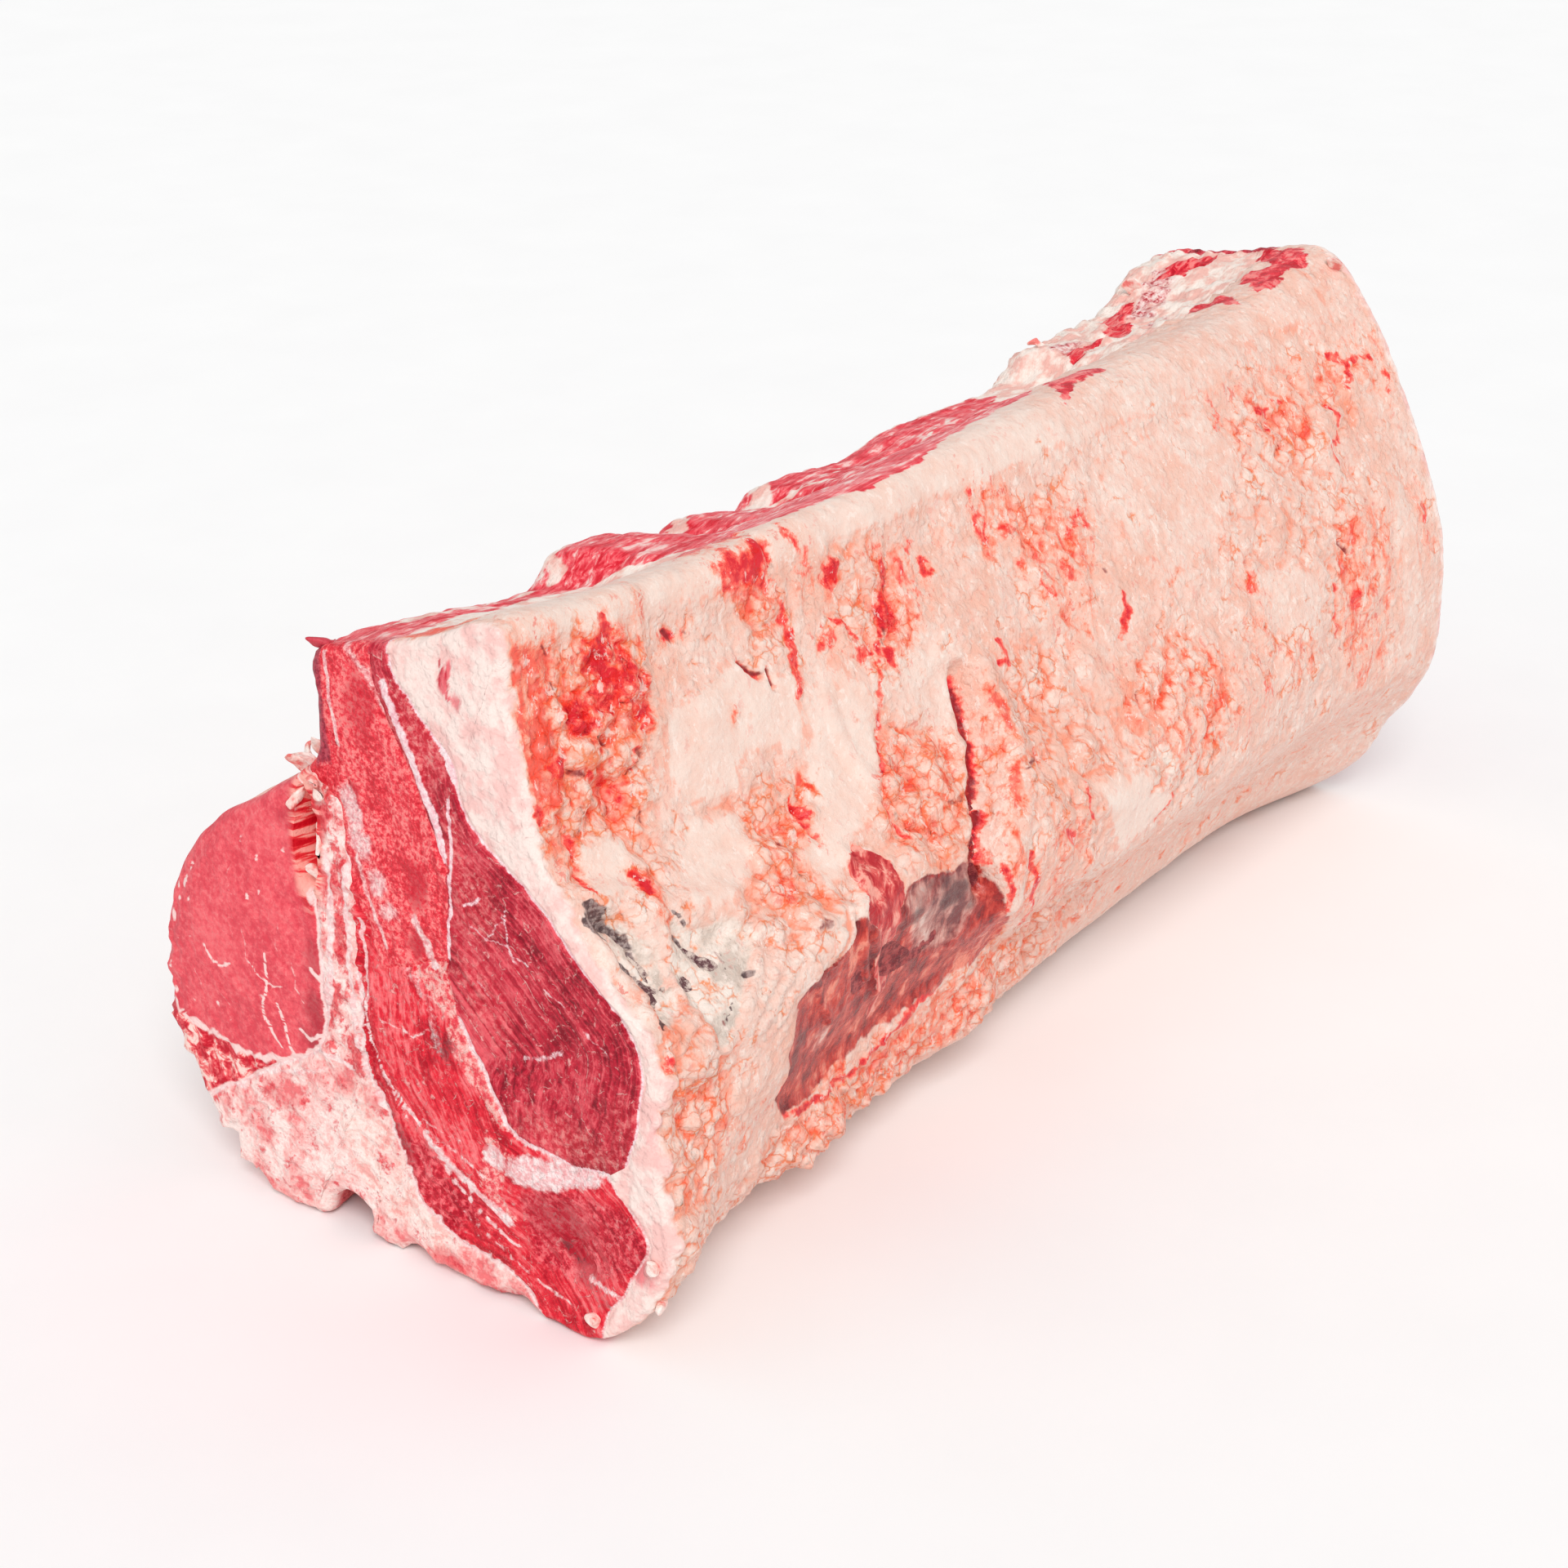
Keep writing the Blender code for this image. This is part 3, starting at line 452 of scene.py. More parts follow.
# the pocket that the knife left between tenderloin and bone at the near face
POCKET_Y, POCKET_Z, POCKET_DEPTH = 30.5, 125.0, 22.0
bm = bmesh.new()
bmesh.ops.create_cone(bm, cap_ends=True, segments=40, radius1=1.15, radius2=0.35, depth=1.0)
for vert in bm.verts:
    across, up, deep = vert.co
    place = Vector((-HALF - 6.0 + (deep + 0.5) * POCKET_DEPTH,
                    POCKET_Y + across * 5.0 - 2.0 * deep, POCKET_Z + up * 17.5 + 3.0 * deep))
    vert.co = (place + Vector(ORIGIN)) * MM
bmesh.ops.subdivide_edges(bm, edges=bm.edges, cuts=3, use_grid_fill=True)
pocket = made_of(bm, "pocket")


def knife(target, tool, operation):
    """Cuts target with tool and keeps the result as its mesh."""
    cut = target.modifiers.new("cut", "BOOLEAN")
    cut.solver = "MANIFOLD"
    cut.operation = operation
    cut.object = tool
    bpy.context.view_layer.update()
    shown = target.evaluated_get(bpy.context.evaluated_depsgraph_get())
    mesh = bpy.data.meshes.new_from_object(shown)
    target.modifiers.clear()
    target.data = mesh
    bpy.data.objects.remove(tool)


knife(whole, pocket, "DIFFERENCE")


# ===================================================== the fat cover of the back
# A sheet of firm cream fat up to 60 mm thick: lumpy, greasy, stained by blood, and
# torn open over the flank so that membrane and lean show. A knife trimmed it, and
# the saw left it sharp. It is the share of the loin outside the lean's seam.
def wandering(p, seed):
    """Two of a point's own small random shifts, in millimetres."""
    return tuple(1.3 * cloud(p, 9.0, seed + k) + 1.0 * cloud(p, 3.6, seed + 2 + k)
                 + 0.5 * cloud(p, 1.7, seed + 4 + k) for k in (0, 1))


def parted(name, seed, *lines_at):
    """The loin inside an outline of seams and far-off corners, and its points."""
    rows = []
    for x in np.linspace(-HALF - 15, HALF + 15, 61):
        lines = [line(np.clip(x, -HALF, HALF)) if callable(line) else line for line in lines_at]
        ring = np.concatenate([np.array(line, float).reshape(-1, 2) for line in lines])
        rows.append(np.column_stack([np.full(len(ring), x), ring]))
    region = skin(name + "_region", np.array(rows))
    piece = bpy.data.objects.new(name, whole.data.copy())
    bpy.context.collection.objects.link(piece)
    knife(piece, region, "INTERSECT")
    piece.data.name = name
    flat = np.empty(len(piece.data.vertices) * 3)
    piece.data.vertices.foreach_get("co", flat)
    p = flat.reshape(-1, 3) / MM - ORIGIN
    return piece, p, *p.T, *wandering(p, seed)


def flowing(seam, way=1):
    """A seam as a part of an outline, run backwards where way is -1."""
    return lambda x: drawn(seam, x)[::way]


def mark_of(piece, name, spare):
    """A mark of the skin at a piece's points, spare where the knife made new ones."""
    values = np.empty(len(piece.data.vertices))
    piece.data.attributes[name].data.foreach_get("value", values)
    return np.where(abs(values) < 1e-6, spare, values)


def cut_faces(x, dished):
    """1 on the near cut face, and 1 on both, where they dip by up to dished."""
    near = ease(-x, HALF - dished - 1.5, HALF - dished)
    return near, np.maximum(near, ease(x, HALF - dished - 3.0, HALF - dished - 1.5))


def paint(piece, **shares):
    """Keeps each share, 0 to 1 at every point, for the finish to read."""
    for name, values in shares.items():
        layer = piece.data.attributes.new(name, "FLOAT", "POINT")
        layer.data.foreach_set("value", np.clip(values, 0.0, 1.0).astype(np.float32))


def shade_of(red, green, blue):
    """A colour read off a screen, 0 to 255, as the light it stands for."""
    levels = [c / 255.0 for c in (red, green, blue)]
    return tuple(c / 12.92 if c < 0.04 else ((c + 0.055) / 1.055) ** 2.4
                 for c in levels) + (1.0,)


def feed(socket, value):
    """Gives a socket a value, or the wire that carries it."""
    if isinstance(value, Wire):
        value.tree.links.new(value.socket, socket)
    else:
        socket.default_value = value


class Wire:
    """A finish's value or colour; sums and products of wires add the nodes."""

    def __init__(self, tree, socket):
        self.tree = tree
        self.socket = socket

    def node(self, kind, settings, inputs, out=0):
        made = self.tree.nodes.new("ShaderNode" + kind)
        for key, value in settings.items():
            if key == "stops":
                stops = made.color_ramp.elements
                for _ in value[2:]:
                    stops.new(0.5)
                for stop, (at, *shade) in zip(stops, value):
                    stop.position = at
                    stop.color = shade_of(*shade)
            else:
                setattr(made, key, value)
        for key, value in inputs.items():
            feed(made.inputs[key], value)
        return Wire(self.tree, made.outputs[out])

    def maths(self, operation, *values):
        return self.node("Math", {"operation": operation}, dict(enumerate(values)))

    def __add__(self, other):
        return self.maths("ADD", self, other)

    __radd__ = __add__

    def __sub__(self, other):
        return self.maths("SUBTRACT", self, other)

    def __rsub__(self, other):
        return self.maths("SUBTRACT", other, self)

    def __mul__(self, other):
        return self.maths("MULTIPLY", self, other)

    __rmul__ = __mul__

    def __abs__(self):
        return self.maths("ABSOLUTE", self)

    def rise(self, low, high):
        """0 below low, 1 above high, soft between."""
        return self.node("MapRange", {"interpolation_type": "SMOOTHSTEP"},
                         {0: self, 1: low, 2: high})

    def tint(self, under, over, blend="MIX"):
        """Colour under where this is 0, over, a wire or a screen colour, where it is 1."""
        over = over if isinstance(over, Wire) else shade_of(*over)
        return self.node("Mix", {"data_type": "RGBA", "blend_type": blend},
                         {0: self, 6: under, 7: over}, 2)

    def multiplied(self, under, over):
        """Colour under, multiplied by over where this is 1."""
        return self.tint(under, over, "MULTIPLY")

    def ramp(self, *stops):
        """Colours by value: each stop is the value and a screen colour."""
        return self.node("ValToRGB", {"stops": stops}, {0: self})


class Finish:
    """A material that is filled in from fields of the object's own space."""

    def __init__(self, name):
        self.material = bpy.data.materials.new(name)
        self.material.use_nodes = True
        tree = self.material.node_tree
        self.shader = tree.nodes["Principled BSDF"]
        self.place = Wire(tree, tree.nodes.new("ShaderNodeTexCoord").outputs["Object"])

    def attribute(self, name):
        return self.place.node("Attribute", {"attribute_name": name}, {}, 2)

    def frayed(self, name, low, high, *frays):
        """A painted share, its edge broken up by each noise, by the reach given with it."""
        share = self.attribute(name)
        for noise, reach in frays:
            share = share + (noise - 0.5) * reach
        return share.rise(low, high)

    def stretched(self, x, y, z):
        return self.place.node("Mapping", {}, {0: self.place, 3: (x, y, z)})

    def clouds(self, pitch, detail=3.0, rough=0.55, twist=0.0, place=None):
        """Noise whose coarsest swells are pitch millimetres apart."""
        return self.place.node("TexNoise", {}, {
            "Vector": place or self.place, "Scale": 1000.0 / pitch, "Detail": detail,
            "Roughness": rough, "Distortion": twist})

    def cells(self, pitch, feature="F1", place=None):
        return self.place.node("TexVoronoi", {"feature": feature}, {
            "Vector": place or self.place, "Scale": 1000.0 / pitch})

    def bent(self, reach, pitch):
        """The object's space with random bends of reach millimetres."""
        push = self.clouds(pitch, 2.0)
        push.socket = push.socket.node.outputs["Color"]
        centred = self.place.node("VectorMath", {"operation": "SUBTRACT"},
                                  {0: push, 1: (0.5, 0.5, 0.5)})
        scaled = self.place.node("VectorMath", {"operation": "SCALE"},
                                 {0: centred, "Scale": 2.0 * reach * MM})
        return self.place.node("VectorMath", {"operation": "ADD"}, {0: self.place, 1: scaled})

    def wear(self, colour, roughness, height, depth, coat=0.0):
        """Joins colour, roughness and relief (depth in millimetres) to the shader."""
        bump = self.place.node("Bump", {}, {
            "Strength": 1.0, "Distance": depth * MM, "Height": height})
        for key, value in (("Base Color", colour), ("Roughness", roughness), ("Normal", bump),
                           ("Coat Weight", coat), ("Coat Roughness", 0.2), ("IOR", 1.38)):
            feed(self.shader.inputs[key], value)


def dress(piece, finish, node=None):
    """Gives a piece its finish, smooth shading and its place on the loin."""
    mesh = piece.data
    mesh.materials.clear()
    mesh.materials.append(finish.material)
    mesh.polygons.foreach_set("use_smooth", [True] * len(mesh.polygons))
    mesh.polygons.foreach_set("material_index", [0] * len(mesh.polygons))
    if node:
        mesh.set_sharp_from_angle(angle=math.radians(55.0))
        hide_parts(node)
    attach(piece, "root")


# along the top the lean shows in one long strip; x, y of the fat round it, of the
# red scraps left on that fat, of bare bone and of pale rims
TOP_FAT = (
    (-235, -100), (-235, -4), (-202, -4), (-186, 2), (-172, 2), (-152, 8), (-140, 2), (-132, -8),
    (-127, -20), (-118, -27), (-108, -34), (-96, -38), (-74, -38), (-61, -42), (-44, -42),
    (-20, -38), (4, -34), (26, -30), (45, -29), (70, -14), (90, 2), (78, 8), (92, 13), (84, 19),
    (106, 24), (98, 40), (235, 40), (235, -100))
TOP_RED = (
    ((213, -18), (214, -34), (203, -42), (191, -40), (180, -43), (171, -39), (182, -27),
     (190, -28), (195, -33), (200, -24)),
    ((149, -27), (158, -23), (167, -26), (168, -33), (160, -39), (157, -35), (161, -30)),
    ((212, -3), (204, -5), (192, 2), (189, 11), (198, 10), (209, 4)),
    ((178, 13), (160, 4), (139, -12), (124, -3), (110, -6), (118, 4), (138, 0), (158, 14)),
    ((55, -28), (76, -34), (72, -39), (56, -39), (42, -44)))
TOP_BONE = (
    (172, 4, 22, 8, 10, 0.8), (190, 10, 10, 6, 0, 0.8), (124, 6, 10, 8, 0, 0.7),
    (150, -14, 10, 7, 0, 0.6))
TOP_RIMS = (
    (2.6, 1.0, (-132, 14), (-128, 22), (-112, 25), (-96, 24), (-84, 20), (-78, 14)),
    (2.4, 1.0, (-78, 13), (-72, 20), (-58, 24), (-46, 22), (-40, 14)),
    (3.4, 1.0, (-39, 14), (-30, 20), (-10, 25), (20, 25), (60, 23), (96, 24)),
    (2.0, 0.9, (-200, 12), (-170, 15), (-140, 17)), (1.2, 0.8, (-40, 8), (-32, 0), (-26, -2)),
    (1.1, 0.7, (-60, 4), (-50, 7)), (1.1, 0.7, (-22, 3), (-12, 4)), (1.0, 0.6, (-4, 6), (8, 9)),
    (1.0, 0.6, (-98, 1), (-88, 5)), (0.9, 0.6, (20, -4), (50, 4)),
    (0.9, 0.6, (-70, -16), (-50, -20)))


def top_shares(p, shown):
    """Fat, red scraps, bone and pale rims along the top, where shown is 1."""
    du, dv = wandering(p, 90)
    u, v = p[:, 0] + 1.4 * du, p[:, 1] + 1.2 * dv
    shares = dict(top_fat=inside(u, v, TOP_FAT, 1.0), top_red=inside_any(u, v, TOP_RED, 1.2),
                  top_bone=ovals(u, v, TOP_BONE), rims=strokes(u, v, TOP_RIMS), top=1.0)
    return {name: share * shown for name, share in shares.items()}


def top_strip(made):
    """Long fibres of lean along the top: their colour, and the noises in it."""
    strand = made.clouds(2.6, 4.0, 0.68, 0.7, made.stretched(0.12, 1.0, 1.0))
    lump = made.clouds(7.0, 3.0, 0.6)
    strip = (strand * 0.6 + lump * 0.4).ramp(
        (0.42, 218, 28, 48), (0.48, 240, 70, 84), (0.54, 250, 124, 128), (0.60, 254, 210, 204))
    return strip, strand, lump


def top_scraps(made, colour, small, strand):
    """The red scraps of lean that hang on the top's fat."""
    return made.frayed("top_red", 0.35, 0.7, (small, 1.6)).tint(colour, strand.ramp(
        (0.40, 196, 12, 36), (0.50, 236, 48, 64), (0.60, 250, 136, 132)))


def top_colour(made, colour, small):
    """Lays what grows or hangs along the top over a finish's colour."""
    strip, strand, lump = top_strip(made)
    colour = made.attribute("top").tint(colour, strip)
    pale = lump.ramp((0.42, 244, 190, 178), (0.50, 249, 220, 208), (0.58, 253, 238, 228))
    rims = made.frayed("rims", 0.3, 0.7, (lump, 1.2))
    fat_over = made.frayed("top_fat", 0.3, 0.7, (small, 0.9))
    colour = (rims * 0.95).tint(fat_over.tint(colour, pale), pale)
    colour = made.frayed("top_bone", 0.35, 0.8, (lump, 1.6)).tint(colour, small.ramp(
        (0.40, 176, 40, 56), (0.46, 226, 140, 140), (0.54, 240, 198, 194), (0.62, 252, 234, 228)))
    return top_scraps(made, colour, small, strand)


# salmon washes: strength and outline of x, z
STAINS = (
    (1.0, (-219, 200), (-201, 202), (-196, 187), (-201, 177), (-203, 168), (-203, 158),
     (-208, 148), (-220, 150), (-222, 172)),
    (0.85, (-200, 196), (-176, 195), (-167, 187), (-165, 172), (-172, 161), (-186, 158),
     (-200, 166), (-205, 180)),
    (0.6, (-208, 164), (-182, 159), (-175, 147), (-186, 138), (-204, 146)),
    (0.55, (-219, 150), (-206, 150), (-200, 136), (-212, 128), (-219, 132)),
    (0.9, (-138, 190), (-133, 198), (-112, 198), (-107, 184), (-108, 174), (-114, 172),
     (-128, 180)),
    (0.8, (-105, 191), (-96, 191), (-92, 186), (-83, 186), (-82, 174), (-92, 171), (-106, 175)),
    (0.7, (-71, 184), (-54, 181), (-43, 170), (-49, 154), (-66, 149), (-80, 151), (-75, 168)),
    (0.65, (-100, 168), (-88, 169), (-82, 160), (-81, 153), (-92, 153), (-101, 160)),
    (0.7, (-146, 128), (-128, 132), (-119, 126), (-128, 114), (-148, 109), (-157, 112)),
    (0.6, (-102, 124), (-83, 134), (-60, 129), (-55, 122), (-73, 102), (-91, 103), (-106, 108)),
    (0.35, (-45, 136), (-35, 134), (-36, 112), (-50, 90), (-54, 64), (-63, 62), (-66, 90),
     (-56, 108)),
    (0.85, (-16, 188), (-2, 186), (6, 173), (34, 171), (36, 160), (24, 146), (16, 130), (2, 130),
     (-2, 148), (-5, 160), (-13, 172)),
    (0.6, (16, 126), (58, 120), (84, 108), (94, 94), (72, 78), (40, 86), (12, 96)),
    (0.9, (156, 134), (183, 132), (184, 100), (177, 73), (160, 68), (148, 82), (142, 100),
     (146, 120)), (0.8, (198, 136), (210, 130), (213, 108), (204, 106), (197, 122)),
    (0.7, (116, 184), (150, 185), (185, 183), (200, 181), (217, 186), (217, 166), (208, 154),
     (198, 166), (180, 169), (160, 158), (140, 156), (126, 166)),
    (0.75, (108, 180), (118, 178), (125, 170), (124, 158), (116, 160)),
    (0.6, (84, 134), (104, 132), (108, 112), (100, 92), (86, 88), (82, 112)),
    (0.6, (102, 108), (130, 104), (124, 90), (104, 86)),
    (0.66, (-152, 42), (-100, 46), (-60, 50), (-20, 46), (-18, 28), (-80, 20), (-140, 20)),
    (0.35, (-217, 98), (-202, 84), (-180, 80), (-160, 58), (-162, 36), (-196, 40), (-217, 62)),
    (0.9, (-217, 120), (-212, 111), (-213, 103), (-218, 106)),
    (0.6, (-60, 66), (-40, 62), (-16, 58), (-8, 84), (-28, 100), (-50, 90)),
    (0.5, (40, 144), (60, 142), (64, 122), (50, 118)),
    (0.45, (-30, 60), (60, 62), (90, 40), (160, 40), (160, 22), (-30, 22)),
    (0.35, (140, 70), (200, 60), (200, 30), (140, 40)))
SPOTS = (
    (-213, 168, 5, 7, 0, 1.0), (-216, 158, 4, 5, 0, 1.0), (-197, 194, 13, 4, 0, 0.7),
    (-166, 193, 4, 6, 0, 0.8), (-172, 161, 3, 3, 0, 1.0), (-139, 154, 2.5, 3.5, 0, 1.0),
    (-120, 131, 2, 6, 20, 1.0), (-148, 113, 8, 4, 0, 0.9), (-148, 110, 4, 2, 0, 1.0),
    (-142, 96, 5, 3, 0, 0.6), (-190, 124, 5, 9, 0, 0.9), (-184, 147, 3, 4, 0, 0.7),
    (-194, 151, 5, 3, 0, 0.5), (133, 173, 5, 4, 0, 1.0), (18, 158, 10, 12, 0, 0.9),
    (-2, 165, 4, 14, -20, 0.9), (6, 158, 8, 6, 0, 0.9), (162, 102, 9, 16, 0, 0.85),
    (118, 98, 5, 6, 0, 0.8), (93, 120, 5, 12, 0, 0.8), (-60, 98, 3, 8, -30, 0.6),
    (-46, 122, 2, 10, -10, 0.7), (-58, 86, 2, 12, 0, 0.6), (-33, 111, 4, 4, 0, 0.8),
    (-128, 45, 14, 3, 0, 0.8), (-36, 175, 4, 4, 0, 0.6), (180, 170, 14, 6, 0, 0.8),
    (-41, 126, 3.4, 12, 0, 1.0), (-49, 108, 3.4, 10, -32, 1.0), (-57, 92, 3.2, 9, -10, 0.9),
    (-212, 186, 7, 12, 0, 1.0), (-211, 168, 7, 14, 0, 1.0))
# blood that has soaked in
BLOOD = (
    (-182, 186, 10, 9, 0, 0.8), (-186, 175, 14, 8, 0, 0.75), (-176, 175, 7, 9, 0, 0.7),
    (-182, 193, 3, 3, 0, 1.0), (-177, 182, 3, 4, 0, 1.0), (-181, 178, 4, 3, 0, 1.0),
    (-189, 175, 4, 3, 0, 1.0), (-198, 174, 5, 3, 0, 1.0), (-194, 170, 5, 3, 0, 0.9),
    (-172, 167, 4, 5, 0, 0.6), (-126, 190, 8, 6, 0, 0.9), (-117, 190, 7, 6, 0, 0.8),
    (-129, 186, 3, 3, 0, 0.95), (-113, 183, 4, 5, 0, 0.7), (-100, 190, 3, 3, 0, 0.85),
    (-86, 179, 2.5, 5, 0, 0.8), (-96, 184, 6, 5, 0, 0.45), (-65, 173, 3, 8, 0, 0.75),
    (-69, 163, 4, 7, 0, 0.7), (-75, 155, 3, 3, 0, 0.9), (-84, 157, 3, 3, 0, 0.85),
    (-72, 151, 3, 2.5, 0, 0.9), (-94, 163, 5, 4, 0, 0.7), (-55, 168, 6, 8, 0, 0.35),
    (-49, 177, 3, 2, 0, 0.6), (-46, 169, 2, 2.5, 0, 0.7), (-155, 180, 3, 2.5, 0, 0.9),
    (-148, 180, 1.5, 2, 0, 0.7), (-179, 157, 2.5, 3, 0, 0.6), (-190, 164, 2.5, 2, 0, 0.6),
    (-16, 173, 3, 7, -15, 1.0), (-18, 183, 2.5, 6, 0, 0.8), (-8, 169, 3, 4, 0, 0.8),
    (-6, 160, 3, 3, 0, 0.7), (20, 164, 4, 3, 0, 0.85), (27, 163, 4, 3, 0, 0.8),
    (0, 150, 3, 5, 0, 0.75), (13, 151, 3, 7, 0, 0.75), (5, 158, 8, 3, 0, 0.5),
    (-219, 95, 3, 2.5, 0, 0.9), (-128, 124, 2.5, 2.5, 0, 0.9), (-126, 119, 2, 2.5, 0, 0.9),
    (-209, 162, 4, 3, 0, 0.7), (-217, 153, 3, 3, 0, 0.7), (209, 164, 2.5, 4, 0, 0.85),
    (158, 104, 4, 8, 0, 0.7), (97, 127, 4, 6, 0, 0.6), (89, 94, 3, 9, 0, 0.6),
    (112, 174, 3, 6, -25, 0.8), (207, 121, 2.5, 7, 0, 0.75), (-192, 127, 2.5, 4, 0, 0.9),
    (-153, 57, 4, 6, 0, 0.7), (-28, 88, 3, 4, 0, 0.7))
BLOOD_LINES = (
    (1.5, 1.0, (-47, 137), (-48, 128), (-52, 118), (-58, 109), (-64, 102), (-68, 94), (-66, 84)),
    (1.8, 0.6, (-109, 176), (-109, 167), (-110, 160), (-112, 153)),
    (1.3, 1.0, (-114, 194), (-112, 188)), (0.9, 0.6, (-131, 168), (-129, 164), (-126, 161)),
    (0.9, 0.6, (-122, 161), (-120, 157)),
    (0.8, 0.9, (-64, 177), (-65, 167), (-71, 161), (-75, 155)),
    (0.8, 0.6, (-79, 152), (-83, 139), (-90, 127), (-96, 123), (-99, 118), (-97, 109)),
    (1.1, 0.4, (-195, 157), (-186, 151), (-184, 146), (-187, 143)),
    (0.7, 0.9, (-89, 167), (-85, 164), (-84, 158)),
    (1.1, 0.9, (-28, 143), (-27, 137), (-31, 137)),
    (1.0, 0.8, (134, 172), (140, 170), (136, 166)), (1.0, 0.7, (151, 170), (145, 173)),
    (1.0, 0.7, (185, 178), (206, 173)), (0.9, 0.7, (192, 175), (186, 166)),
    (0.9, 0.8, (172, 164), (173, 159), (171, 155), (164, 153), (163, 148)),
    (0.8, 0.7, (143, 114), (144, 95)), (1.2, 0.7, (33, 140), (33, 135), (26, 130)),
    (1.2, 1.0, (-158, 57), (-149, 42), (-131, 40), (-111, 40), (-95, 44), (-85, 48), (-73, 51),
     (-64, 58), (-59, 66)), (0.9, 0.9, (-62, 92), (-57, 62)), (0.9, 0.8, (-50, 90), (-40, 58)),
    (1.0, 0.8, (-208, 147), (-207, 140)), (1.0, 0.8, (-208, 136), (-209, 130)),
    (0.9, 0.8, (-16, 99), (-15, 88)), (1.0, 0.6, (24, 72), (31, 78)))
# clotted slits, dark membrane and other near-black marks
CLOTS = (
    (0.8, 0.6, (-113, 194), (-112, 189)), (0.7, 0.7, (-64, 173), (-66, 164)),
    (0.7, 0.9, (-72, 159), (-74, 154)), (0.9, 0.9, (-190, 165), (-187, 162)),
    (0.8, 0.8, (-179, 158), (-175, 155)), (0.8, 0.8, (-181, 154), (-176, 154)),
    (0.7, 0.9, (-205, 195), (-202, 190)), (0.7, 0.8, (-203, 184), (-203, 181)),
    (0.9, 0.9, (-202, 160), (-197, 157)), (1.3, 1.0, (-155, 181), (-154, 179)),
    (0.5, 0.8, (-149, 180), (-147, 179)), (0.8, 1.0, (-130, 166), (-125, 161)),
    (0.8, 1.0, (-122, 161), (-121, 157)), (0.9, 0.8, (-67, 173), (-67, 170)),
    (0.9, 0.8, (-85, 182), (-85, 180)), (2.2, 0.5, (-53, 121), (-60, 112), (-67, 106)),
    (0.8, 0.7, (-57, 111), (-72, 111)), (0.9, 0.9, (-69, 103), (-72, 99), (-70, 92)),
    (1.2, 1.0, (151, 127), (156, 121)), (0.6, 0.8, (140, 162), (136, 158)),
    (0.6, 0.9, (-140, 121), (-139, 120)), (0.7, 0.9, (-146, 103), (-143, 103)),
    (0.6, 0.8, (-179, 142), (-180, 138)), (0.7, 0.7, (24, 112), (24, 105)),
    (0.7, 0.9, (-44, 110), (-36, 111)), (0.5, 0.8, (28, 149), (28, 148)),
    (0.5, 0.7, (99, 154), (99, 153)), (0.5, 0.7, (73, 141), (73, 140)),
    (0.5, 0.7, (-34, 180), (-34, 179)), (0.5, 0.7, (-36, 175), (-36, 174)),
    (0.6, 0.8, (-179, 109), (-177, 106)), (0.5, 0.8, (-186, 97), (-188, 93)),
    (1.5, 1.0, (-47, 134), (-49, 126), (-52, 119), (-58, 109), (-65, 102), (-70, 95), (-67, 86)),
    (0.9, 0.8, (10, 26), (13, 24)), (2.2, 0.5, (-152, 62), (-155, 54)))
SLATE = (
    (1.6, 1.0, (-212, 127), (-207, 123), (-203, 119)), (0.9, 1.0, (-214, 125), (-210, 120)),
    (1.2, 1.0, (-204, 117), (-203, 112)), (0.9, 1.0, (-208, 116), (-206, 110)),
    (1.0, 1.0, (-208, 111), (-208, 107), (-212, 103)), (1.0, 1.0, (-187, 114), (-183, 109)),
    (0.5, 1.0, (-186, 118), (-183, 116)), (0.6, 0.9, (-175, 104), (-173, 102)),
    (0.5, 0.9, (-190, 96), (-190, 92)), (0.5, 0.9, (-184, 98), (-186, 92)))
GREY = (
    (26, 92, 8, 9, 30, 0.6), (-26, 100, 6, 8, 0, 0.4), (-4, 88, 12, 10, 0, 0.35),
    (-52, 124, 5, 5, 0, 0.5))
MEMBRANE = (
    (-84, 84, 20, 18, 0, 1.0), (-78, 92, 15, 12, 0, 1.0), (-48, 80, 8, 8, 0, 0.7),
    (-100, 96, 10, 8, 0, 0.9), (-136, 62, 5, 12, 20, 0.5))
DUSK = (
    (-82, 88, 9, 7, 0, 1.0), (-104, 89, 8, 5, 0, 0.8), (-72, 84, 5, 8, 0, 0.8),
    (-90, 96, 10, 4, 0, 0.7), (-95, 72, 8, 6, 0, 0.5), (-150, 60, 8, 10, 0, 0.5))
CREAM = (
    (-56, 76, 3, 16, -20, 0.9), (-216, 112, 4, 14, 0, 0.9), (-216, 88, 2.5, 4, 0, 1.0),
    (-60, 140, 14, 14, 0, 0.6), (-136, 99, 7, 7, 0, 1.0))
CREAM_STRAND = ((1.8, 0.9, (-120, 113), (-120, 106), (-126, 101), (-128, 93)),)
MEAT_FLAP = (
    (-120, 114), (-113, 112), (-108, 107), (-107, 99), (-110, 92), (-110, 80), (-107, 66),
    (-104, 53), (-108, 53), (-113, 68), (-116, 80), (-119, 92), (-124, 99), (-123, 107))
FAT_FLAP = ((-137, 107), (-127, 107), (-129, 99), (-137, 93), (-146, 89), (-142, 98))
# on the sawn face the fat is pale and pink: y, z
FACE_BLUSH = (
    (-24, 186, 2, 6, 20, 1.0), (-28, 180, 2, 4, 0, 0.7), (-60, 122, 8, 6, 0, 0.3),
    (-90, 72, 4, 14, 0, 0.4), (-84, 30, 8, 6, 0, 0.7))
FACE_VEIN = ((0.8, 1.0, (-22, 190), (-25, 180)),)
FACE_NICK = ((0.6, 1.0, (-34, 145), (-44, 147), (-52, 148)),)

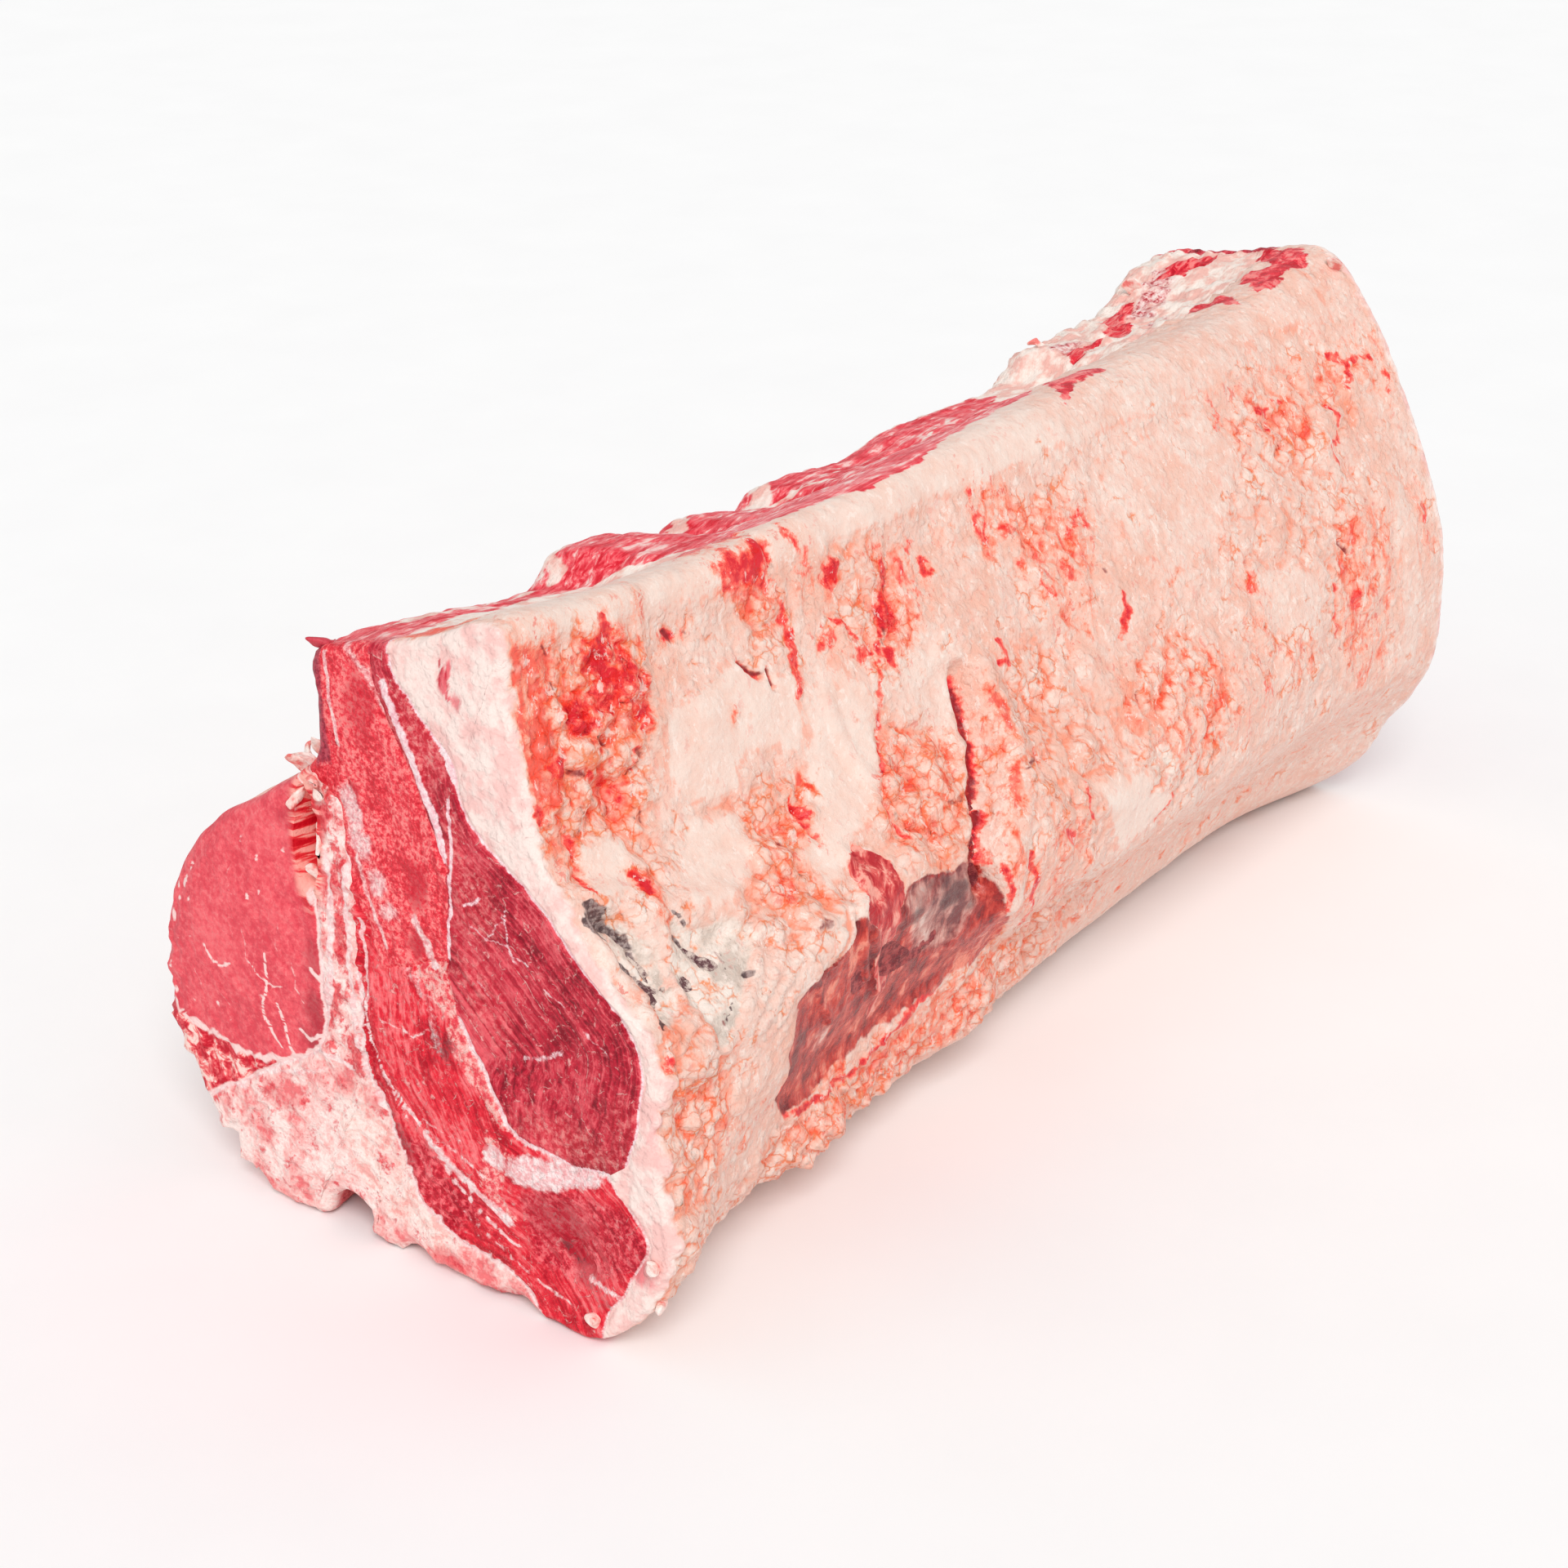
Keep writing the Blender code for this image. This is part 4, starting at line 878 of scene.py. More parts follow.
cover, p, x, y, z, du, dv = parted(
    "cover_fat_dressed", 30, flowing(COVER_LEAN), flowing(EYE_DEEP[-1:]), flowing(COVER_DEEP),
    (-170, -40), (-170, 250))
u = mark_of(cover, "side_x", x) + 0.8 * du
v = mark_of(cover, "side_z", z) + 0.8 * dv
on_face, sawn = cut_faces(x * (1 + 0.008 * abs(du)), 0.9)
on_side = 1.0 - sawn
far_half = ease(x, -30, 20)
salmon = np.max([share * inside(u, v, line, 6.0) for share, *line in STAINS], axis=0)
salmon = np.maximum(salmon, ovals(u, v, SPOTS)) * on_side
halo = [(cu, cv, 2.0 * hu, 1.8 * hv, tilt, 0.85 * share) for cu, cv, hu, hv, tilt, share in BLOOD]
salmon = np.maximum(salmon, ovals(u + du, v + dv, halo) * on_side)
strap = inside(u, v, MEAT_FLAP, 0.8)
blood = ovals(u + 1.3 * du, v + 1.3 * dv, BLOOD) * (1 - 0.45 * ease(x, -40, -10))
blood = np.maximum(np.maximum(blood, strokes(u, v, BLOOD_LINES)), 0.75 * strap)
flank = inside(u, v, FLANK_PATCH, 1.6) * on_side * (y < -40)
flank = flank * (1 - 0.95 * strap) * (1 - inside(u, v, FAT_FLAP, 0.8))
grey = np.maximum(inside_any(u, v, SILVER, 1.6), ovals(u, v, GREY)) * on_side
membrane = ovals(u, v, MEMBRANE) * flank
cream = inside_any(u, v, TRIMMED, 2.0)
brink = 4 * cream * (1 - cream)
cream = cream * (1 - 0.7 * ease(x, 10, 60)) * (1 - ovals(u, v, SPOTS))
cream = np.maximum(cream, ovals(u, v, CREAM)) * on_side
cream = np.maximum(cream, strokes(u, v, CREAM_STRAND))
lumpy = ovals(u, v, LUMPY) * (1 - 0.8 * np.maximum(cream, grey)) * on_side
clot = strokes(u - 0.4 * du, v - 0.4 * dv, CLOTS) * on_side
blush = np.maximum(ovals(y + du, z + dv, FACE_BLUSH), strokes(y, z, FACE_VEIN))
paint(cover, salmon=salmon * (1 - 0.22 * far_half), blood=blood * on_side,
      clot=np.maximum(clot, 0.5 * on_face * strokes(y, z, FACE_NICK)), flank=flank, grey=grey,
      membrane=membrane, dusk=np.maximum(ovals(u, v, DUSK) * flank, 0.5 * membrane),
      cream=cream, blush=blush * on_face, sawn=sawn, lumpy=lumpy * (1 - 0.5 * far_half),
      brink=brink * on_side, slate=strokes(u, v, SLATE) * on_side, strap=strap * on_side,
      **top_shares(p, on_side * ease(z, 172, 184)))

fat = Finish("cover_fat")
drift = fat.clouds(42.0, 3.0)
mottle = fat.clouds(8.5, 4.0, 0.62)
fine = fat.clouds(2.4, 3.0, 0.65)
streak = fat.clouds(4.5, 4.0, 0.66, 0.5, fat.stretched(1.0, 1.0, 0.26))
speck = fat.clouds(1.1, 2.0, 0.6)
gap = fat.cells(2.9, "F1", fat.bent(1.0, 3.0)).rise(0.30, 0.62)
crack = 1 - fat.cells(8.0, "DISTANCE_TO_EDGE", fat.bent(3.4, 7.0)).rise(0.0, 0.14)
sawn = fat.attribute("sawn")
unsawn = 1 - sawn
# clean fat, whiter where trimmed, pink where sawn; painted shade, orange, in its furrows, and warm
# lines round its lobules and torn edges
smooth = fat.attribute("cream")
gritty = 1 - smooth * 0.75
furrow_shade = fat.frayed("valley", 0.2, 0.9, (fine, 0.9))
tone = drift * 0.35 + mottle * 0.5 + fine * 0.15 + smooth * 0.02
colour = tone.ramp((0.42, 236, 190, 172), (0.49, 237, 204, 190), (0.56, 239, 217, 205))
colour = (smooth * 0.45).tint(colour, (243, 221, 208))
colour = (sawn * 0.9).tint(colour, mottle.ramp((0.42, 247, 198, 192), (0.56, 251, 228, 220)))
torn_edge = (fat.attribute("brink") + (streak - 0.5) * 5.0 - 0.5).rise(0.1, 0.8)
painted_shade_and_lobule_lines = furrow_shade * 0.75 + gap * gritty * 0.14 + crack * gritty * 0.06 + torn_edge * 0.35
colour = (painted_shade_and_lobule_lines * unsawn).tint(colour, (246, 138, 102))
# salmon washes, stronger in the lace of fine seams, and deeper in the furrows as painted shade
stain = fat.attribute("salmon")
vein = fat.clouds(3.2, 3.0, 0.7, 1.2)
lace = 1 - abs(vein - 0.5).rise(0.0, 0.03)
wash = (stain * 0.66 + stain.rise(0.82, 1.0) * 0.28
        + ((streak - 0.5) * 2.2 + (mottle - 0.5) * 1.8) * (stain * 0.4 + 0.5)
        + (drift - 0.5) * 0.8 + (gap * 0.16 + crack * 0.12 + lace * 0.13) * (stain + 0.3)
        + furrow_shade * 0.35 - smooth * 0.28 - 0.18)
colour = (wash.rise(-0.05, 0.70) * unsawn).tint(colour, wash.ramp(
    (0.1, 244, 206, 190), (0.4, 247, 178, 156), (0.75, 248, 140, 114), (1.0, 244, 100, 82)))
# silver skin, and the beads of lumpy fat, each with a painted highlight on its crown
film = fat.frayed("grey", 0.3, 0.8, (mottle, 1.0), (fine, 0.5))
colour = (film * 0.85).tint(colour, mottle.ramp(
    (0.42, 202, 190, 178), (0.5, 230, 216, 204), (0.58, 242, 232, 222)))
knot = fat.bent(2.0, 3.4)
lobule = fat.cells(4.4, "F1", knot)
chink = 1 - fat.cells(4.4, "DISTANCE_TO_EDGE", knot).rise(0.0, 0.10)
beaded = (fat.attribute("lumpy") * 0.7 + stain * 0.15 + (mottle - 0.5) * 3.0 + (drift - 0.5)
          - smooth * 0.3).rise(0.05, 0.6) * unsawn
# painted highlight: the crown of each bead is lightened
colour = (beaded * (1 - lobule.rise(0.15, 0.5)) * 0.4).tint(colour, (251, 222, 208))
# blood, which soaks outwards between the beads, a little deeper in the furrows as painted shade
bled = fat.attribute("blood")
loose = bled.rise(0.0, 0.4) * 0.8 + stain * 0.15 + 0.05
depth = (bled * 0.95 + ((streak - 0.5) * 2.0 + (mottle - 0.5) * 1.6 + (fine - 0.5) * 1.0
                        + gap * 0.3 + lace * 0.2) * loose + furrow_shade * 0.15 - 0.22)
colour = depth.rise(-0.08, 0.5).tint(colour, depth.ramp(
    (0.05, 247, 182, 164), (0.35, 251, 136, 116), (0.65, 248, 78, 70), (0.95, 218, 22, 40)))
# painted shade multiplied into the chinks and hollows between the beads; the lace of fine seams,
# the fat's own colour, goes in with it
colour = (beaded * (chink * 0.6 + lobule.rise(0.45, 0.75) * 0.5)
          + lace * (stain * 0.28 + 0.08) * unsawn).multiplied(colour, (255, 170, 130))
# tiny red flecks, and tiny near-white specks that are painted glints
flecks_and_glints = fat.clouds(3.4, 4.0, 0.75, 0.4, fat.stretched(1.0, 1.0, 0.5))
colour = (flecks_and_glints.rise(0.59, 0.65) * (stain * 0.7 + 0.2) * unsawn).tint(colour, (232, 92, 78))
colour = ((1 - flecks_and_glints.rise(0.36, 0.42)) * 0.6 * unsawn).tint(colour, (248, 230, 220))
colour = (sawn * fat.frayed("blush", 0.3, 0.9, (streak, 0.9))).tint(
    colour, streak.ramp((0.44, 206, 30, 56), (0.56, 240, 110, 118)))
# the torn patch: bare lean, the membrane over it, and the strap of meat across it
lean = fat.frayed("flank", 0.3, 0.7, (fine, 0.7))
bare = streak * 0.45 + mottle * 0.4 + drift * 0.15
bare_lean = bare.ramp(
    (0.42, 120, 14, 18), (0.48, 172, 38, 32), (0.54, 210, 74, 60), (0.60, 242, 144, 122))
bare_lean = fat.frayed("membrane", 0.3, 0.9, (mottle, 1.6)).tint(bare_lean, bare.ramp(
    (0.43, 124, 58, 58), (0.48, 176, 108, 100), (0.54, 214, 156, 144), (0.60, 240, 206, 194)))
bare_lean = (fat.frayed("dusk", 0.4, 1.0, (mottle, 1.4)) * 0.85).tint(bare_lean, (92, 44, 46))
colour = lean.tint(colour, bare_lean)
colour = fat.frayed("strap", 0.35, 0.65, (fine, 0.8)).tint(colour, streak.ramp(
    (0.42, 184, 36, 44), (0.50, 220, 86, 82), (0.58, 246, 164, 148)))
# the strip of lean along the top, then clots and slate-dark membrane
bare_top = (fat.attribute("top") - fat.attribute("top_fat") + (fine - 0.5) * 0.9).rise(0.3, 0.7)
colour = top_scraps(fat, bare_top.tint(colour, top_strip(fat)[0]), fine, streak)
colour = (fat.frayed("clot", 0.35, 1.0, (fine, 1.0)) * 0.9).tint(colour, (132, 12, 24))
colour = (fat.frayed("slate", 0.42, 0.7, (fine, 0.7)) * 0.92).tint(colour, fine.ramp(
    (0.42, 58, 32, 40), (0.5, 92, 62, 66), (0.6, 160, 140, 136)))
wet = lean * 0.5 + depth.rise(0.2, 0.9) * 0.3
relief = (fine * 0.28 + speck * 0.08 + streak * 0.3 - gap * 0.12 - crack * 0.08) * gritty
fat.wear(colour, 0.44 - wet * 0.16 + (fine - 0.5) * 0.4,
         mottle * 0.9 + relief - beaded * (lobule * 0.4 + chink * 0.05), 1.4, 0.06 + wet * 0.3)
dress(cover, fat, "cover_fat")

# ================================================================= the eye muscle
# The long round loin muscle, the large side of a steak cut from it. At the saw cut
# it shows dark maroon bundles end on, with fine marbling; along the top its fibres
# run with the loin, where the fat cover was pulled back from it.
EYE_PALE = (
    (1.4, 1.0, (-2, 178), (-5, 172), (-8, 166), (-11, 159), (-15, 151), (-19, 142), (-20, 133)),
    (0.8, 0.8, (-8, 163), (-14, 153), (-18, 143)), (0.7, 0.8, (-23, 151), (-23, 137), (-20, 103)),
    (1.0, 0.55, (-45, 81), (-52, 84), (-58, 87)), (0.6, 0.75, (-27, 121), (-33, 125)),
    (0.6, 0.7, (-41, 124), (-41, 116), (-43, 109)), (0.6, 0.6, (-34, 113), (-41, 114)),
    (0.6, 0.6, (-42, 111), (-48, 109)), (0.6, 0.55, (-28, 117), (-34, 113), (-40, 122)),
    (0.5, 0.5, (-66, 96), (-76, 92)), (0.5, 0.5, (-52, 104), (-60, 101)),
    (0.5, 0.5, (-30, 100), (-36, 94)))
FACE_FAT = (
    (-4, 196), (-34, 196), (-34, 146), (-27, 150), (-25, 156), (-23, 163), (-12, 177), (-5, 187))
BRIGHT = (
    (-62, 61, 22, 7, 0, 0.8), (-30, 122, 9, 14, 0, 0.6), (-24, 134, 5, 14, 0, 0.7),
    (-12, 166, 14, 22, 30, 1.0), (-80, 72, 6, 10, 0, 0.5), (-30, 96, 8, 18, -30, 0.5))


def seam_lines(p, half, *seams):
    """Pale lines where seams meet the cut faces."""
    out = np.zeros(len(p))
    for end in (-HALF, HALF):
        here = abs(p[:, 0] - end) < 4.0
        lines = [(half, 0.9, *drawn(seam, end)) for seam in seams]
        out[here] = strokes(p[here, 1], p[here, 2], lines)
    return out


def gap_at_ends(p, seam):
    """How far each point is from the seam on the nearer cut face."""
    gaps = [gap_to(p[:, 1], p[:, 2], drawn(seam, end)) for end in (-HALF, HALF)]
    return np.where(p[:, 0] < 0, *gaps)


def lean_finish(name, deep, middle, light, pitch, bundled):
    """Raw lean: fibres cut across or along at the saw cut, long ones elsewhere."""
    made = Finish(name)
    across, lengthwise = made.attribute("across") * 100.0, made.attribute("along") * 300.0

    def grain(lengthwise, pitch, detail):
        """Noise drawn out along lines of equal across."""
        weave = made.place.node("CombineXYZ", {}, {
            0: across * (1.0 / pitch), 1: lengthwise * (0.12 / pitch)})
        return made.place.node("TexNoise", {}, {
            "Vector": weave, "Scale": 1.0, "Detail": detail, "Roughness": 0.62,
            "Distortion": 0.35})

    sawn = made.attribute("sawn")
    big = made.clouds(15.0, 4.0, 0.6)
    small = made.clouds(2.2, 4.0, 0.72)
    sheen = made.clouds(1.3, 2.0, 0.65)
    strand = made.clouds(2.4, 4.0, 0.68, 0.6, made.stretched(0.10, 1.0, 1.0))
    flow = grain(lengthwise, pitch, 5.0)
    dash = grain(lengthwise * 3.2, 1.9, 3.0)
    short = grain(lengthwise * 2.2, 1.7, 5.0)
    mosaic = made.cells(2.1, "DISTANCE_TO_EDGE", made.bent(0.9, 2.5))
    plait = made.cells(9.0, "DISTANCE_TO_EDGE", made.bent(5.0, 9.0))
    arcs = made.attribute("arcs") * bundled
    cut = (flow * 0.72 + small * 0.28) * arcs + short * (bundled - arcs) + small * (1 - bundled)
    tone = sawn * (cut * 0.6 + big * 0.4) + (1 - sawn) * (strand * 0.7 + big * 0.3)
    colour = tone.ramp((0.42, *deep), (0.50, *middle), (0.58, *light))
    broken = small.rise(0.46, 0.62) * sawn
    threads = (1 - mosaic.rise(0.0, 0.10)) * broken * 0.25
    colour = threads.tint(colour, (246, 160, 158))
    seams = (1 - plait.rise(0.0, 0.035)) * broken
    flecks = dash.rise(0.61, 0.68) * (sawn * 0.5 + 0.25) * small.rise(0.4, 0.55)
    marbling = (seams + flecks).rise(0.1, 0.9) * bundled
    colour = (marbling * 0.8).tint(colour, (249, 188, 182))
    relief = tone * 1.6 + mosaic.rise(0.0, 0.25) * sawn * 0.15 + sheen * 0.5 + marbling * 0.3
    made.shader.inputs["Specular IOR Level"].default_value = 0.22
    return made, colour, relief, small, sheen


eye, p, x, y, z, du, dv = parted(
    "eye_muscle_dressed", 40, flowing(PLATE_LEAN), flowing(PLATE_FOOT[:1]), flowing(EYE_DEEP),
    flowing(COVER_LEAN, -1))
on_face, sawn = cut_faces(x, 4.0)
pale = np.maximum(strokes(y + 0.4 * du, z + 0.4 * dv, EYE_PALE),
                  inside(y + 0.6 * du, z + 0.6 * dv, FACE_FAT, 0.8)) * on_face
rind = gap_at_ends(p, COVER_LEAN)
paint(eye, across=rind / 100.0, along=(z - y) / 300.0 + 0.5, arcs=1 - ease(rind, 10, 34),
      pale=np.maximum(pale, sawn * seam_lines(p, 0.7, EYE_DEEP, COVER_LEAN)),
      bright=ovals(y + du, z + dv, BRIGHT) * on_face, sawn=sawn,
      bared=(1 - sawn) * (1 - ease(z, 140, 152)), filmed=(1 - sawn) * ease(-x, 130, 140),
      **top_shares(p, (1 - sawn) * ease(z, 146, 160)))
lean, colour, relief, small, sheen = lean_finish(
    "eye_muscle", (132, 6, 30), (194, 34, 56), (234, 94, 104), 1.1, 0.8)
colour = (lean.attribute("bared") * 0.85).tint(colour, small.ramp(
    (0.42, 104, 40, 44), (0.58, 176, 84, 80)))
colour = (lean.attribute("filmed") * 0.9 * (1 - lean.attribute("top"))).tint(colour, small.ramp(
    (0.42, 96, 66, 70), (0.50, 170, 150, 144), (0.58, 222, 208, 196)))
colour = (lean.attribute("bright") * 0.7).tint(colour, small.ramp(
    (0.42, 206, 40, 54), (0.50, 232, 88, 96), (0.60, 247, 156, 150)))
colour = lean.frayed("pale", 0.35, 0.75, (small, 0.9)).tint(
    colour, small.ramp((0.4, 240, 180, 188), (0.6, 254, 230, 232)))
colour = top_colour(lean, colour, small)
lean.wear(colour, 0.42 + (sheen - 0.5) * 0.5, relief, 0.6, 0.06)
dress(eye, lean, "eye_muscle")

# ================================================================ the deep muscle
# Smaller bundled muscles packed between the eye muscle and the backbone, with
# sheets of white fascia between them. Bright, ragged red where the saw went
# through, with an oval of gristle and a strip of bone.
DEEP_PALE = (
    (1.6, 1.0, (-10, 44), (-20, 37), (-28, 33), (-38, 28)), (0.8, 0.6, (-10, 47), (-30, 39)),
    (1.4, 1.0, (-10, 111), (-15, 108), (-11, 103), (-15, 99)),
    (0.8, 0.6, (6, 100), (4, 94), (2, 101)),
    (0.7, 0.9, (12, 106), (11, 89), (12, 74), (7, 63), (-4, 50), (-16, 36), (-28, 26), (-42, 20)),
    (0.6, 0.7, (10, 69), (4, 58), (-3, 46)), (0.6, 0.6, (0, 52), (-11, 49), (-21, 47)),
    (0.6, 0.6, (5, 77), (-6, 76), (-12, 79)), (1.1, 0.8, (-66, 20), (-78, 19)),
    (1.6, 1.0, (-58, 50), (-65, 54), (-75, 59)), (0.7, 0.6, (-20, 24), (-44, 14), (-60, 9)),
    (2.2, 0.5, (-2, 98), (-12, 88), (-16, 74)))
GRISTLE = (
    (-48, 47, 14, 6, -12, 1.0), (-62, 52, 14, 5, -20, 1.0), (-34, 47, 6, 5, 0, 0.9))
LOW_FAT = (
    (-72, 56), (-93, 78), (-99, 58), (-97, 41), (-85, 42), (-78, 51))
PINK = (
    ((0, 113), (-17, 112), (-19, 100), (-24, 85), (-33, 79), (-39, 77), (-46, 68), (-42, 56),
     (-34, 59), (-29, 65), (-23, 75), (-16, 88), (-9, 92), (-3, 100)),
    ((-30, 54), (-40, 52), (-34, 36), (-41, 30), (-29, 29)))
MAROON = (
    ((4, 42), (-2, 28), (-11, 15), (-20, 17), (-29, 27), (-18, 33), (-9, 42)),
    ((-42, 38), (-56, 46), (-78, 46), (-91, 36), (-87, 30), (-64, 19), (-46, 18)))
# darker marks of the near face, as y, z, half sizes, tilt and strength; the first two lie in its
# slit
DARK_MARKS = ((-61, 25, 5, 2.4, 30, 1.0), (-57, 27, 3, 2, 60, 1.0), (-18, 76, 5, 6, 0, 0.8),
           (-66, 20, 6, 4, 20, 0.5), (2, 42, 4, 9, -30, 0.7), (-56, 34, 12, 8, 0, 0.5),
           (-76, 14, 8, 3, 0, 0.5))

deep, p, x, y, z, du, dv = parted(
    "deep_muscle_dressed", 50, flowing(EYE_DEEP), flowing(COVER_DEEP), flowing(FASCIA, -1),
    flowing(PLATE_BACK[:1]), flowing(PLATE_FOOT, -1))
on_face, sawn = cut_faces(x, 4.0)
pale = np.maximum(strokes(y + 0.6 * du, z + 0.6 * dv, DEEP_PALE),
                  ovals(y + 0.5 * du, z + 0.5 * dv, GRISTLE))
pale = np.maximum(pale, inside(y + 0.6 * du, z + 0.6 * dv, LOW_FAT, 0.9)) * on_face
u, v = y + 1.4 * du, z + 1.4 * dv
sheet = gap_at_ends(p, FASCIA)
paint(deep, across=sheet / 100.0, along=(z - y) / 300.0 + 0.5, arcs=1 - ease(sheet, 3, 13),
      pale=np.maximum(pale, sawn * seam_lines(p, 0.9, FASCIA, EYE_DEEP, COVER_DEEP)),
      dark=ovals(y + du, z + dv, DARK_MARKS) * on_face, sawn=sawn,
      pinked=inside_any(u, v, PINK, 2.0) * on_face,
      maroon=inside_any(u, v, MAROON, 2.0) * on_face)
lean, colour, relief, small, sheen = lean_finish(
    "deep_muscle", (182, 8, 34), (232, 40, 58), (253, 122, 126), 1.6, 0.75)
colour = (lean.attribute("maroon") * 0.6).tint(colour, small.ramp(
    (0.42, 150, 8, 34), (0.50, 206, 40, 62), (0.58, 244, 118, 124)))
colour = (lean.attribute("dark") * 0.85 * small.rise(0.36, 0.6)).tint(colour, (86, 10, 24))
pink = lean.frayed("pinked", 0.3, 0.9, (small, 2.0), (sheen, 1.0))
colour = (pink * 0.85).tint(colour, small.ramp(
    (0.42, 228, 70, 84), (0.50, 248, 146, 142), (0.58, 253, 200, 192)))
colour = lean.frayed("pale", 0.35, 0.8, (small, 0.8)).tint(
    colour, small.ramp((0.4, 240, 170, 172), (0.6, 253, 232, 230)))
lean.wear(colour, 0.44 + (sheen - 0.5) * 0.5, relief, 0.8, 0.06)
dress(deep, lean, "deep_muscle")

# ================================================================= the bone plate
# The flat finger bone that stands up between the two muscles, sawn through at the
# face so that its red spongy marrow shows, and covered along the top by torn
# membrane, scraps of lean and, at the rib end, bare grey-pink bone.
PLATE_LINES = (
    (0.7, 1.0, (19, 182), (18, 170), (16, 156)), (1.6, 0.7, (12, 186), (4, 180), (-1, 170)),
    (1.6, 0.9, (-9, 112), (-12, 106), (-15, 99)), (1.0, 0.8, (12, 124), (8, 112), (2, 100)))
PLATE_CHALK = ((13, 139, 4, 8, -20, 0.9), (10, 128, 5, 7, -30, 0.9), (5, 119, 6, 5, -30, 0.8),
               (1, 111, 6, 4, 0, 0.7), (4, 136, 5, 5, 0, 0.35))
PURPLE_EDGE = ((25, 196), (21, 196), (20.5, 164), (19.5, 150), (25, 148))
VIVID = ((12, 141, 3, 7, 0, 1.0), (-10, 122, 5, 10, 0, 0.7), (-9, 104, 5, 7, 0, 0.8),
         (8, 170, 8, 16, 0, 0.6))

plate, p, x, y, z, du, dv = parted(
    "bone_plate_dressed", 60, flowing(PLATE_LEAN), flowing(PLATE_FOOT), flowing(PLATE_BACK),
    (90, 200), (90, 250))
on_face, sawn = cut_faces(x, 4.0)
white = np.maximum(strokes(y + 0.4 * du, z + 0.4 * dv, PLATE_LINES),
                   ovals(y + du, z + dv, PLATE_CHALK))
paint(plate, white=white * on_face, purple=on_face * inside(y, z, PURPLE_EDGE, 0.6),
      vivid=on_face * ovals(y + du, z + dv, VIVID), sawn=sawn,
      **top_shares(p, (1 - sawn) * ease(z, 146, 160)))
bone = Finish("bone_plate")
sponge = bone.clouds(1.5, 3.0, 0.75)
pore = bone.cells(1.1)
broad = bone.clouds(10.0, 4.0, 0.6)
strand = bone.clouds(3.0, 4.0, 0.65, 0.6, bone.stretched(0.14, 1.0, 1.0))
marrow = (sponge * 0.65 + broad * 0.35).ramp(
    (0.42, 206, 14, 38), (0.50, 242, 60, 74), (0.58, 254, 136, 134))
hide = (strand * 0.7 + broad * 0.3).ramp(
    (0.40, 204, 38, 54), (0.50, 234, 90, 98), (0.60, 248, 152, 148))
colour = bone.attribute("sawn").tint(hide, marrow)
colour = (bone.frayed("vivid", 0.3, 0.9, (sponge, 0.6)) * 0.8).tint(colour, (198, 20, 44))
colour = (bone.frayed("white", 0.35, 0.9, (broad, 0.8), (sponge, 0.5)) * 0.9).tint(
    colour, sponge.ramp((0.4, 238, 160, 164), (0.6, 252, 226, 222)))
colour = (bone.attribute("purple") * 0.9).tint(
    colour, sponge.ramp((0.4, 128, 20, 46), (0.6, 184, 60, 80)))
colour = top_colour(bone, colour, sponge)
bone.wear(colour, 0.48 + (sponge - 0.5) * 0.35, sponge * 0.7 + pore * 0.5 + strand * 0.5,
          0.6, 0.08)
dress(plate, bone, "bone_plate")

# ================================================================== the backbone
# Half of each vertebra, split lengthwise: pale pink spongy bone with blood in it,
# gristle and scraps of lean along its lower edge, and the open channel of the
# spinal cord beneath. The whole loin stands on it.
BLUSH = (
    (78, 38, 9, 7, 0, 1.0), (62, 42, 12, 5, 10, 1.0), (52, 37, 8, 5, 0, 1.0),
    (76, 28, 8, 5, 0, 0.9), (88, 44, 5, 4, 0, 0.9), (78, 16, 4, 8, 30, 0.9),
    (84, 26, 4, 5, 0, 0.8), (40, 38, 6, 3, 0, 0.8), (19, 118, 4, 9, 0, 0.8),
    (19, 134, 3, 5, 0, 0.9), (19, 96, 3, 9, 0, 0.9), (24, 76, 4, 6, 0, 0.7),
    (16, 62, 4, 6, 0, 1.0), (26, 132, 4, 5, 0, 0.9), (29, 44, 4, 9, 10, 0.5),
    (8, 30, 5, 4, 0, 0.7), (-14, 5, 10, 3, 0, 1.0), (-30, 2, 10, 3, 0, 1.0),
    (24, 14, 6, 3, 0, 0.8), (44, 2, 12, 3, 0, 0.9), (64, 4, 8, 4, 40, 0.9),
    (46, 16, 5, 4, 0, 0.4), (60, 26, 5, 4, 0, 0.6), (22, 50, 5, 4, 0, 0.9),
    (10, 48, 4, 6, 30, 0.8), (2, 38, 3, 6, 30, 0.8), (34, 26, 6, 4, 0, 0.5))
CREAM_BONE = (
    (18, 54), (8, 46), (0, 36), (-8, 26), (-20, 12), (-8, 6), (10, 12), (18, 20), (24, 30),
    (26, 42))
STRIPE = (
    (18, 148), (30, 142), (27, 112), (26, 84), (30, 62), (18, 50), (10, 60), (13, 88), (12, 108),
    (20, 134))
GRISTLE_LINES = (
    (1.3, 1.0, (93, 50), (84, 46), (74, 41), (63, 35)), (1.2, 0.9, (38, 57), (29, 59), (19, 57)),
    (1.1, 0.9, (15, 128), (17, 110), (17, 90), (15, 66), (8, 48)),
    (1.4, 0.9, (28, 134), (23, 118), (23, 96), (25, 78), (30, 62)),
    (1.2, 0.7, (52, 44), (40, 48), (30, 52)))


def pocket_share(x, y, z):
    """1 on the walls of the pocket."""
    far = np.hypot((y - POCKET_Y) / 6.4, (z - POCKET_Z) / 23.0)
    return (1 - ease(x, -HALF + 17, -HALF + 19)) * ease(far * -1, -1.15, -0.8)


def pocket_colour(made, colour, *stops):
    """Lays the torn fibres of the pocket's walls over a finish's colour."""
    slats = made.clouds(3.0, 4.0, 0.6, 0.3, made.stretched(0.15, 0.15, 1.0))
    return made.attribute("hole").tint(colour, slats.ramp(*stops))


